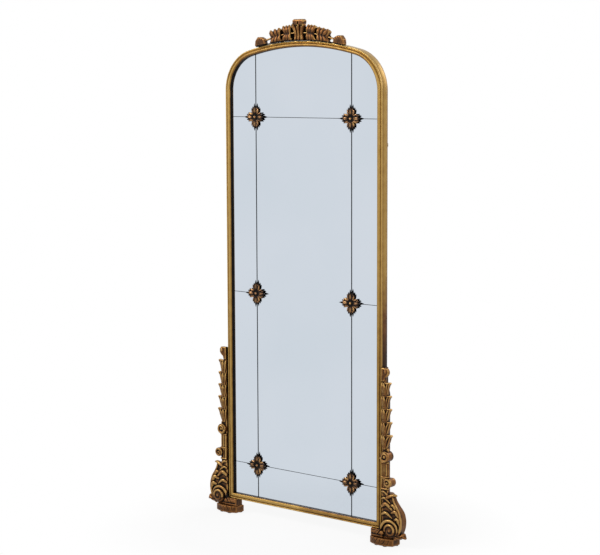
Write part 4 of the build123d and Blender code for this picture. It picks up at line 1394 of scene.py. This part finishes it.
@dataclass
class CarvedFoot:
    """Scroll foot: small scroll, leaf lip, bulging S with folded leaves, volute and curled toe."""

    datum: Datum
    step: float = 1.15
    bottom: float = 28.0
    top: float = 245.0
    front: float = -1.0
    back: float = 30.0
    scroll: Flat = (38.0, 230.0)
    scroll_radius: float = 16.8
    scroll_front: float = -17.0
    scroll_back: float = 18.0
    volute: Flat = (46.0, 60.0)
    volute_radius: float = 26.0
    shelf_in: float = -41.0
    shelf_top: float = 55.8
    rib: Flat = (0.2, 18.0)
    rib_back: float = 32.0
    bulge: tuple[Flat, ...] = (
        (57, 184), (62, 166), (72, 147), (84, 128), (92, 98), (90, 70), (80, 44), (66, 29),
    )
    folds: tuple[tuple[Flat, Flat, Flat], ...] = (
        ((4, 194), (20, 194), (40, 174)),
        ((4, 168), (22, 172), (48, 150)),
        ((5, 140), (28, 152), (58, 128)),
        ((5, 112), (26, 120), (50, 104)),
    )
    scallops: tuple[tuple[Flat, Flat, Flat], ...] = (
        ((44, 148), (58, 150), (69, 130)),
        ((50, 124), (68, 128), (82, 104)),
        ((62, 100), (76, 102), (85, 78)),
    )
    fold_scales: tuple[float, ...] = (0.75, 0.7, 1.2, 0.95, 0.9, 1.15, 1.1)
    wrap: tuple[Flat, ...] = ((-6, 46), (6, 70), (22, 88), (44, 93), (64, 84), (74, 64), (70, 46))

    def build(self) -> list[Piece]:
        """Carve the right-hand foot and mirror it."""
        d = self.datum
        low = d.side(self.shelf_in - 1, CARVED_FRONT, self.bottom)
        block = Carving(low, d.side(109, self.rib_back + 0.5, self.top + 1), self.step)
        self._ground(block)
        self._leaves(block)
        self._rim(block)
        self._volute(block)
        self._neck(block)
        self._shelf(block)
        block.trim(Axis.Z, self.bottom + 0.1)
        block.trim(Axis.Z, self.top - 0.1, keep_below=True)
        right = shaded_inside(evened_sides(block.surface(6.0), d.front), d.edge)
        return carved_pair(right, "foot")

    def _flat(self, points: Iterable[Flat]) -> list[Flat]:
        """Outline in row X and Z."""
        return [(self.datum.edge + out, level) for out, level in points]

    def _ground(self, block: Carving) -> None:
        """Bulging body and the rib that it is fixed by."""
        d = self.datum
        bulge = [tuple(p) for p in curve(self.bulge, 5)]
        body = bulge + [(5, self.bottom - 4), (5, 190), (34, 190)]
        block.slab(self._flat(body), d.front + self.front, d.front + self.back, 4)
        hollow = [(60, 36, 198), (66, 37, 172), (78, 38, 150), (90, 38, 128), (98, 38, 106)]
        path = curve([d.side(*place) for place in hollow])
        block.stroke(path, (24, 21, 17, 12, 4), 1, 3, cut=True)
        inner, outer = self.rib
        rib = [(inner, 57), (outer, 57), (outer, self.top), (inner, self.top)]
        block.slab(self._flat(rib), d.front + self.back - 22, d.front + self.rib_back, 1)

    def _leaves(self, block: Carving) -> None:
        """Leaf folds from the stile outwards, scallops along the rim and the volute's band."""
        at = self.datum.side
        depths = (-1, -3.8, -1.5)
        for points, scale in zip(self.folds + self.scallops, self.fold_scales):
            path = curve([at(out, depth, level) for (out, level), depth in zip(points, depths)])
            block.stroke(path, [scale * width for width in (4.0, 6.2, 5.6, 2.0)], 0.85)
            groove = path + np.array([0, -5.0, -5.5 * scale])
            block.stroke(groove, (1.2, 2.2, 1.2), 1.4, 0.8, cut=True)
        path = curve([at(out, -4, level) for out, level in self.wrap])
        block.stroke(path, (5.2, 6.0, 5.4, 3.0), 1.0, 0.6)

    def _rim(self, block: Carving) -> None:
        """Rolled border along the bulge, the leaf lip above it and the toe below."""
        at = self.datum.side
        edge = curve([at(out - 4.5, -1.5, level) for out, level in self.bulge], 6)
        block.stroke(edge, (3.0, 4.2, 5.0, 5.0, 4.0), 0.8)
        groove = curve([at(out - 13, -2, level) for out, level in self.bulge[1:-1]], 6)
        block.stroke(groove, (1.2, 2.2, 1.2), 1.5, 0.6, cut=True)
        lip = curve([at(30, 3, 176), at(46, 2, 183), at(58, 2, 187), at(67, 3, 186)])
        block.stroke(lip, (8, 7, 5.2, 3.2), 1.3, 1)
        toe = curve([at(60, 8, 38), at(80, 8, 39), at(93, 7, 44), at(103, 7, 38)])
        block.stroke(toe, (9, 9, 8.5, 3.8), 1.6, 1)
        block.ball(at(95, 7, 49), (7, 10, 7), 2)
        crease = curve([at(66, -5, 42), at(84, -5, 40), at(97, -4, 44)])
        block.stroke(crease, (1.2, 1.8, 1.2), 1.4, 0.8, cut=True)

    def _volute(self, block: Carving) -> None:
        """Large spiral low on the front."""
        out, level = self.volute
        x, y, z = self.datum.side(out, -8, level)
        block.ball((x, y + 4, z), (self.volute_radius + 1, 9, self.volute_radius + 1), 1)
        path = spiral((x, z), y - 1, self.volute_radius - 4.6, 12.5, 190, -1.0)
        block.stroke(path, (4.8, 5.6, 4.4), 0.95)
        block.ball((x, y, z), (8.0, 6.5, 8.0), 1)

    def _neck(self, block: Carving) -> None:
        """Collared neck under the pilaster, with the small scroll that runs back."""
        d = self.datum
        at = d.side
        neck = [(5, 178), (33, 178), (33, self.top), (5, self.top)]
        block.slab(self._flat(neck), d.front - 3, d.front + 11, 2.5)
        for out in REEDS:
            block.stroke([at(out, -3, 212), at(out, -3, self.top)], (4.2, 4.2), 1.0)
        block.stroke([at(7, -1, 206), at(31, -1, 206)], (4.2, 4.2), 1.7)
        x, _, z = at(self.scroll[0], 0, self.scroll[1])
        front, back = d.front + self.scroll_front, d.front + self.scroll_back
        block.drum((x, z), self.scroll_radius, front + 3, back, 2.5, 1)
        path = spiral((x, z), front + 3.5, self.scroll_radius - 3.8, 8.5, 150, -0.95)
        block.stroke(path, (3.8, 4.0, 3.2), 1.0)
        block.ball((x, front + 4, z), (4.6, 4.5, 4.6))

    def _shelf(self, block: Carving) -> None:
        """Rolled leaf block under the frame's corner."""
        d = self.datum
        at = d.side
        low, high = self.bottom - 3, self.shelf_top
        seat = [(self.shelf_in, low), (8, low), (8, high), (self.shelf_in, high)]
        block.slab(self._flat(seat), d.front - 5, d.front + self.rib_back, 2)
        roll = [at(self.shelf_in + 7, -2, 45), at(8, -3, 45)]
        block.stroke(roll, (7, 9), 0.9, 1)
        block.stroke([at(self.shelf_in + 4, -3, 33), at(8, -4, 33)], (4, 4.5), 1, 0.8)
        for out in range(int(self.shelf_in) + 12, 8, 13):
            groove = curve([at(out - 5, -7, 38), at(out, -11, 46), at(out + 7, -7, 54)])
            block.stroke(groove, (1.4, 2.2, 1.4), 1.2, 0.8, cut=True)


@dataclass
class CarvedPlinth:
    """Bow-fronted base block with shallow leaning folds."""

    datum: Datum
    step: float = 0.9
    inner: float = -45.0
    outer: float = 58.5
    end: float = -6.0
    bow: float = -20.0
    back: float = 36.0
    low: float = 2.0
    high: float = 28.0
    lobes: int = 5
    lean: float = 8.0
    rub_limit: float = 0.79

    def build(self) -> list[Piece]:
        """Carve the right-hand plinth and mirror it."""
        d = self.datum
        low, high = d.side(self.inner, self.bow, self.low), d.side(self.outer, self.back, self.high)
        block = Carving(low, high, self.step)
        plan = [(x, y) for x, y, _ in self._bow(24, 1.5)]
        plan += [(d.edge + out, d.front + self.back) for out in (self.outer, self.inner)]
        block.slab(plan, self.low, self.high, 3, Axis.Z)
        for index, (x, y, _) in enumerate(self._bow(self.lobes + 2, 1.0)[1:-1]):
            lean = self.lean * (1 if index % 2 else 0.5)
            path = curve([(x - lean, y, self.low + 6), (x, y - 0.5, 15), (x + lean, y, self.high)])
            block.stroke(path, (0.6, 1.3, 1.7), 1.4, 1.5, cut=True)
        right = block.surface(5.0, 0.02)
        return carved_pair(right.with_rub(np.minimum(right.rub, self.rub_limit)), "plinth")

    def _bow(self, count: int, inset: float) -> list[Point]:
        """Points along the bowed front, set in from it."""
        found = []
        for share in np.linspace(0, 1, count):
            out = self.inner + inset + (self.outer - self.inner - 2 * inset) * share
            depth = self.bow + inset + (self.end - self.bow) * (2 * share - 1) ** 2
            found.append(self.datum.side(out, depth, 0))
        return found


@dataclass
class CentrePlate:
    """Tall middle plate, in one sheet over the two middle rows."""

    nodes: tuple[str, str] = ("pane_lower_centre", "pane_upper_centre")
    notch: float = 5.0
    half_seam: Flat = (2.25, 1.0)
    steps: int = 9

    def build(self) -> list[Piece]:
        """Cut the notched outline and give it the thickness of the CAD plates."""
        low, high = corners(self.nodes[0])[0], corners(self.nodes[1])[1]
        right = self._right_edge(high[0], low[2], high[2])
        outline = right + [(-x, z) for x, z in reversed(right)]
        count = len(outline)
        verts = [(x, y, z) for y in (low[1], high[1]) for x, z in outline]
        faces = [tuple(range(count)), tuple(reversed(range(count, 2 * count)))]
        for k in range(count):
            n = (k + 1) % count
            faces.append((n, k, k + count, n + count))
        sheet = make_object("pane_centre_sheet", np.array(verts), faces)
        face_outwards(sheet)
        sheet.data.shade_flat()
        return [Piece(sheet, PLATE, "mirror_plate", self.nodes)]

    def _right_edge(self, edge: float, low: float, high: float) -> list[Flat]:
        """Right edge upwards, with a notch round the bolt at each end and in the middle.

        Args:
            edge: Place of the edge across the mirror.
            low: Bottom of the sheet.
            high: Top of the sheet.

        Returns:
            Points of width and height.
        """
        across, along = self.half_seam
        wide, flat = math.acos(across / self.notch), math.asin(along / self.notch)
        middle = (low + high) / 2
        turns = ((low - along, -flat, -wide), (middle, wide, -wide), (high + along, wide, flat))
        points = []
        for level, start, end in turns:
            for angle in np.linspace(math.pi + start, math.pi + end, self.steps):
                x = edge + across + self.notch * math.cos(angle)
                points.append((x, level + self.notch * math.sin(angle)))
        return points


@dataclass
class Rosettes:
    """Six four-petalled bosses on the plate corners, with a bead on each bolt."""

    bolts: bpy.types.Object
    step: float = 0.7
    reach: float = 49.0
    hub: float = 12.0
    height: float = 8.0
    bead: float = 5.0
    count: int = 4
    # Radius and width of each petal's bright ring, a painted highlight that partly stands for
    # rubbed wear.
    glow: Flat = (24.0, 13.0)
    lift: float = 0.05

    def build(self, whorl: ShapeTree, repeat: ShapeTree) -> list[Piece]:
        """Carve a petal and set it round each hub, then set the bolts."""
        petal = self._petal().piece("petal")
        pieces = []
        glass = corners("pane_upper_centre")[0][1]
        for row, side in product(Row, Side):
            node = f"rosette_{row.word}_{side.word}"
            low, high = corners(node)
            middle = (low + high) / 2
            place = (np.array([middle[0], glass - self.lift, middle[2]]) * MM).tolist()
            values = {"Petal": petal, "Count": self.count, "Place": place}
            hub = self._hub().piece("hub")
            made = whorl.bake(node + "_carved", hub, ROSETTE_BRONZE, **values)
            pieces.append(Piece(made, ROSETTE_BRONZE, "bronze", (node,)))
        bpy.data.objects.remove(petal)
        return pieces + [self._bolts(repeat)]

    def _petal(self) -> Surface:
        """Petal along +X on the glass: a pointed middle lobe and two round side lobes."""
        block = Carving((2, -13, -26), (self.reach + 1, 1, 26), self.step)
        for side in (-1, 1):
            lobe = curve([(8, -3, 3 * side), (19, -5.5, 10 * side), (31, -6, 16 * side)])
            block.stroke(lobe, (4, 6.2, 4.6, 1.0), 0.62)
            ear = curve([(20, -4, 4 * side), (29, -6, 8 * side), (38, -7, 9 * side)])
            block.stroke(ear, (4, 4.6, 1.0), 0.6)
            vein = [(9, -7, 4 * side), (19, -10, 10.5 * side), (29, -9.4, 15 * side)]
            block.stroke(vein, (0.8, 1.5, 0.7), 1.2, 0.6, cut=True)
        tongue = curve([(6, -3, 0), (24, -6.4, 0), (self.reach, -8, 0)])
        block.stroke(tongue, (5, 6.4, 5.6, 0.9), 0.66)
        vein = [(10, -7.6, 0), (24, -11.2, 0), (44, -10.4, 0)]
        block.stroke(vein, (0.9, 1.5, 0.7), 1.2, 0.6, cut=True)
        return self._shaded(block)

    def _hub(self) -> Surface:
        """Round middle under the bead."""
        block = Carving((-14, -10, -14), (14, 1, 14), self.step)
        block.ball((0, 0, 0), (self.hub, self.height, self.hub))
        return self._shaded(block)

    def _shaded(self, block: Carving) -> Surface:
        """Surface cut off at the glass, with a painted highlight ring where each petal swells,
        partly standing for rubbed wear.
        """
        block.trim(Axis.Y, 0, keep_below=True)
        made = block.surface(4.0)
        x, y, z = made.verts.T
        # Painted highlight, partly rubbed wear: brighter where the petal stands forward, in a ring
        # round the hub.
        rise = np.clip(-y / self.height - 0.35, 0, 0.65)
        away = (np.hypot(x, z) - self.glow[0]) / self.glow[1]
        return made.with_rub(made.rub * (0.2 + 1.2 * rise * np.exp(-away * away)))

    def _bolts(self, repeat: ShapeTree) -> Piece:
        """Bolts with round beads, on the places of the CAD bolts."""
        places = islands(self.bolts)
        low, high = places[0]
        front, back = low[1], high[1]
        seed = middles("bolt_places", places)
        angles = np.linspace(0.02, math.pi / 2, 8)
        rows = [(self.bead * math.sin(a), front + self.bead * (1 - math.cos(a))) for a in angles]
        rows += [(2.0, front + self.bead + 0.2), (2.0, back)]
        bolt = turned("bolt", rows, 24, 0.9)
        made = repeat.bake("rosette_bolts_turned", seed, ROSETTE_BRONZE, Shape=bolt)
        bpy.data.objects.remove(bolt)
        return Piece(made, ROSETTE_BRONZE, "bronze", ("rosette_bolts",))


def turned(name: str, rows: Sequence[Flat], sides: int, rub: float) -> bpy.types.Object:
    """Closed turned shape about the Y axis, from rows of radius and Y, front first."""
    angles = np.linspace(0, 2 * math.pi, sides, endpoint=False)
    verts = [(r * math.cos(a), y, r * math.sin(a)) for r, y in rows for a in angles]
    faces = [tuple(range(sides)), tuple(reversed(range(len(verts) - sides, len(verts))))]
    for low, k in product(range(0, len(verts) - sides, sides), range(sides)):
        n, high = (k + 1) % sides, low + sides
        faces.append((low + k, high + k, high + n, low + n))
    made = make_object(name, np.array(verts), faces, np.full(len(verts), rub))
    face_outwards(made)
    made.data.set_sharp_from_angle(angle=math.radians(40))
    return made


def middles(name: str, boxes: Iterable[tuple[np.ndarray, np.ndarray]]) -> bpy.types.Object:
    """Object with a vertex at the middle of each box, in the plane Y = 0."""
    return edge_loop(name, np.array([(a + b) / 2 * (1, 0, 1) for a, b in boxes]), closed=False)


def islands(shape: bpy.types.Object, gap: float = 12.0) -> list[tuple[np.ndarray, np.ndarray]]:
    """Lowest and highest corner of each separate solid of a CAD node of small pieces."""
    found: list[list[np.ndarray]] = []
    for vert in read_verts(shape):
        for group in found:
            if np.hypot(*(group[0] - vert)[[0, 2]]) < gap:
                group.append(vert)
                break
        else:
            found.append([vert])
    return [(np.min(group, axis=0), np.max(group, axis=0)) for group in found]


@dataclass
class Fixings:
    """Pan-head screws on the back and the two wire rings."""

    nodes: dict[str, bpy.types.Object]
    screws: tuple[str, ...] = ("clip_screws", "brace_screws", "hanger_screws")
    head: float = 3.2
    head_height: float = 1.8
    shank: float = 1.6
    wire: float = 1.5
    ring_width: float = 13.0
    ring_drop: float = 14.0
    ring_corner: float = 2.4

    def build(self, sweep: ShapeTree, repeat: ShapeTree) -> list[Piece]:
        """Make the screws of each node and both rings."""
        pieces = [self._screws(node, repeat) for node in self.screws]
        angles = np.linspace(0, 2 * math.pi, 16, endpoint=False)
        rim = np.stack([self.wire * np.cos(angles), self.wire * np.sin(angles), 0 * angles], axis=1)
        section = edge_loop("wire_section", rim, closed=True)
        pieces += [self._ring(side, section, sweep) for side in Side]
        bpy.data.objects.remove(section)
        return pieces

    def _screws(self, node: str, repeat: ShapeTree) -> Piece:
        """Screws with domed, hollowed heads, pointing forwards."""
        spots = islands(self.nodes[node])
        tip, top = spots[0][0][1], max(high[1] for _, high in spots)
        seat = top - self.head_height
        rows = [(0.2, tip), (self.shank, tip + 2.5), (self.shank, seat), (self.head, seat)]
        rows += [(self.head, top - 0.9), (self.head * 0.8, top - 0.25)]
        rows += [(self.head * 0.35, top), (self.head * 0.3, top - 0.9)]
        screw = turned("screw", rows, 14, 0.5)
        seed = middles("screw_places", spots)
        made = repeat.bake(node + "_turned", seed, STEEL, Shape=screw)
        bpy.data.objects.remove(screw)
        return Piece(made, STEEL, "plated_steel", (node,))

    def _ring(self, side: Side, section: bpy.types.Object, sweep: ShapeTree) -> Piece:
        """Wire ring with rounded corners hanging from its knuckle."""
        node = f"hanger_ring_{side.word}"
        low, high = corners(node)
        x, y, top = (low[0] + high[0]) / 2, (low[1] + high[1]) / 2, high[2] - self.wire
        half, c = self.ring_width / 2, self.ring_corner
        bow = ((0, half - self.ring_drop), half, 0, -180)
        arcs = [((half - c, -c), c, 90, 0), bow, ((c - half, -c), c, 180, 90)]
        points = []
        for (u, v), radius, start, end in arcs:
            for a in np.radians(np.linspace(start, end, 14)):
                points.append((x + u + radius * math.cos(a), y, top + v + radius * math.sin(a)))
        seed = edge_loop("ring_path", np.array(points), closed=True)
        ring = sweep.bake(node + "_wire", seed, STEEL, Section=section)
        face_outwards(ring)
        smooth(ring.data)
        return Piece(ring, STEEL, "plated_steel", (node,), f"ring_{side.word}")


PLAIN_NODES: dict[str, Finish] = {
    "pane_": PLATE,
    "backing_board": BOARD,
    "setting_blocks": RUBBER,
    "rosette_nuts": STEEL,
    "crest_": STEEL,
    "board_clips": STEEL,
    "corner_brace": STEEL,
    "hanger_strap": STEEL,
    "head_dowels": WOOD,
    "bracket_dowels": WOOD,
    "joint_dowels": WOOD,
    "plinth_dowels": WOOD,
    "felt_pads": FELT,
}


def dress_plain_nodes(nodes: dict[str, bpy.types.Object], replaced: set[str]) -> None:
    """Give each CAD node that stays its finish.

    Args:
        nodes: CAD node objects by name.
        replaced: Names of nodes that other pieces stand for.
    """
    for name, shape in nodes.items():
        if name in replaced:
            continue
        finish = next(f for prefix, f in PLAIN_NODES.items() if name.startswith(prefix))
        finish.dress(shape)
        log.info("%s keeps its shape, finish %s", name, finish.name)


# Studio


@dataclass(frozen=True)
class Lamp:
    """Soft area light that looks at a point."""

    name: str
    place: Point
    target: Point
    size: float
    power: float

    def hang(self) -> None:
        """Add the light to the scene."""
        data = bpy.data.lights.new(self.name, "AREA")
        data.size = self.size
        data.energy = self.power
        lamp = bpy.data.objects.new(self.name, data)
        lamp.location = self.place
        aim = Vector(self.target) - Vector(self.place)
        lamp.rotation_euler = aim.to_track_quat("-Z", "Y").to_euler()
        bpy.context.scene.collection.objects.link(lamp)


@dataclass
class Studio:
    """Camera, white floor and backdrop, and soft lights."""

    azimuth: float = 39.5
    elevation: float = 6.886
    roll: float = -0.214
    place: Point = (3.8201, -4.6515, 1.6515)
    lens: float = 100.65
    sensor: float = 36.0
    floor_size: float = 30.0
    floor_glow: float = 0.88
    shadow_reach: Flat = (0.45, 0.8)
    ambient: float = 0.55
    lamps: tuple[Lamp, ...] = (
        Lamp("key", (-2.6, -3.4, 3.4), (0, 0, 0.9), 1.6, 110),
        Lamp("fill", (4.2, -2.4, 2.4), (0, 0, 0.9), 1.8, 45),
        Lamp("back", (1.5, 3.5, 3.0), (0, 0, 1.0), 2.0, 40),
    )

    def build(self) -> None:
        """Set up everything round the object."""
        scene = bpy.context.scene
        scene.view_settings.view_transform = "Standard"
        self._camera(scene)
        self._world(scene)
        self._floor()
        for lamp in self.lamps:
            lamp.hang()

    def _camera(self, scene: bpy.types.Scene) -> None:
        """Camera with the photograph's view."""
        a, e, r = (math.radians(v) for v in (self.azimuth, self.elevation, self.roll))
        back = Vector((math.sin(a) * math.cos(e), -math.cos(a) * math.cos(e), math.sin(e)))
        right = Vector((math.cos(a), math.sin(a), 0))
        up = back.cross(right)
        across = math.cos(r) * right + math.sin(r) * up
        upward = -math.sin(r) * right + math.cos(r) * up
        data = bpy.data.cameras.new("camera")
        data.lens = self.lens
        data.sensor_width = self.sensor
        data.clip_end = 100
        camera = bpy.data.objects.new("camera", data)
        turn = Matrix((across, upward, back)).transposed().to_4x4()
        camera.matrix_world = Matrix.Translation(self.place) @ turn
        scene.collection.objects.link(camera)
        scene.camera = camera

    @staticmethod
    def _seen(graph: Graph) -> bpy.types.NodeSocket:
        """One for rays from the camera, or mirrored or passed on from glass and metal."""
        path = graph.add("ShaderNodeLightPath").outputs
        direct = graph.math("MAXIMUM", path["Is Camera Ray"], path["Is Glossy Ray"])
        return graph.math("MAXIMUM", direct, path["Is Transmission Ray"])

    def _world(self, scene: bpy.types.Scene) -> None:
        """White to look at, softer as light."""
        world = bpy.data.worlds.new("studio")
        world.use_nodes = True
        scene.world = world
        graph = Graph(world.node_tree)
        soft = graph.add("ShaderNodeBackground", {"Color": WHITE, "Strength": self.ambient})
        white = graph.add("ShaderNodeBackground", {"Color": WHITE, "Strength": 1.0})
        parts = {"Fac": self._seen(graph), 1: soft.outputs[0], 2: white.outputs[0]}
        both = graph.add("ShaderNodeMixShader", parts)
        graph.add("ShaderNodeOutputWorld", {"Surface": both.outputs[0]})

    def _floor(self) -> None:
        """White floor that keeps a faint shadow."""
        half = self.floor_size / 2 / MM
        rim = [(-half, -half, 0), (half, -half, 0), (half, half, 0), (-half, half, 0)]
        floor = make_object("floor", np.array(rim), [(0, 1, 2, 3)])
        paint = bpy.data.materials.new("floor_white")
        paint.use_nodes = True
        graph = Graph(paint.node_tree)
        matt = graph.add("ShaderNodeBsdfDiffuse", {"Color": (0.8, 0.8, 0.8, 1)})
        glow = graph.add("ShaderNodeEmission", {"Color": WHITE, "Strength": 1.0})
        place = graph.add("ShaderNodeTexCoord").outputs["Object"]
        away = graph.add("ShaderNodeVectorMath", {0: place}, operation="LENGTH").outputs["Value"]
        near, far = self.shadow_reach
        fade = {"Value": away, "From Min": near, "From Max": far}
        fade |= {"To Min": self.floor_glow, "To Max": 1.0}
        glow_share = graph.add("ShaderNodeMapRange", fade).outputs[0]
        share = graph.math("MULTIPLY", self._seen(graph), glow_share)
        parts = {"Fac": share, 1: matt.outputs[0], 2: glow.outputs[0]}
        both = graph.add("ShaderNodeMixShader", parts)
        graph.add("ShaderNodeOutputMaterial", {"Surface": both.outputs[0]})
        floor.data.materials.append(paint)


def main() -> None:
    """Build every sub-assembly on the frame, dress it and set the studio."""
    logging.basicConfig(level=logging.INFO, format="%(name)s: %(message)s")
    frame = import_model()
    nodes = frame["nodes"]
    datum = Datum.read()
    sweep, whorl, repeat = sweep_tree(), whorl_tree(), repeat_tree()
    pieces = MouldedFrame(datum).build(sweep)
    for carved in (CarvedCrest, CarvedPilaster, CarvedFoot, CarvedPlinth):
        pieces += carved(datum).build()
    pieces += CentrePlate().build()
    pieces += Rosettes(nodes["rosette_bolts"]).build(whorl, repeat)
    pieces += Fixings(nodes).build(sweep, repeat)
    for piece in pieces:
        piece.settle()
    dress_plain_nodes(nodes, {node for piece in pieces for node in piece.nodes})
    Studio().build()


if __name__ == "__main__":
    main()
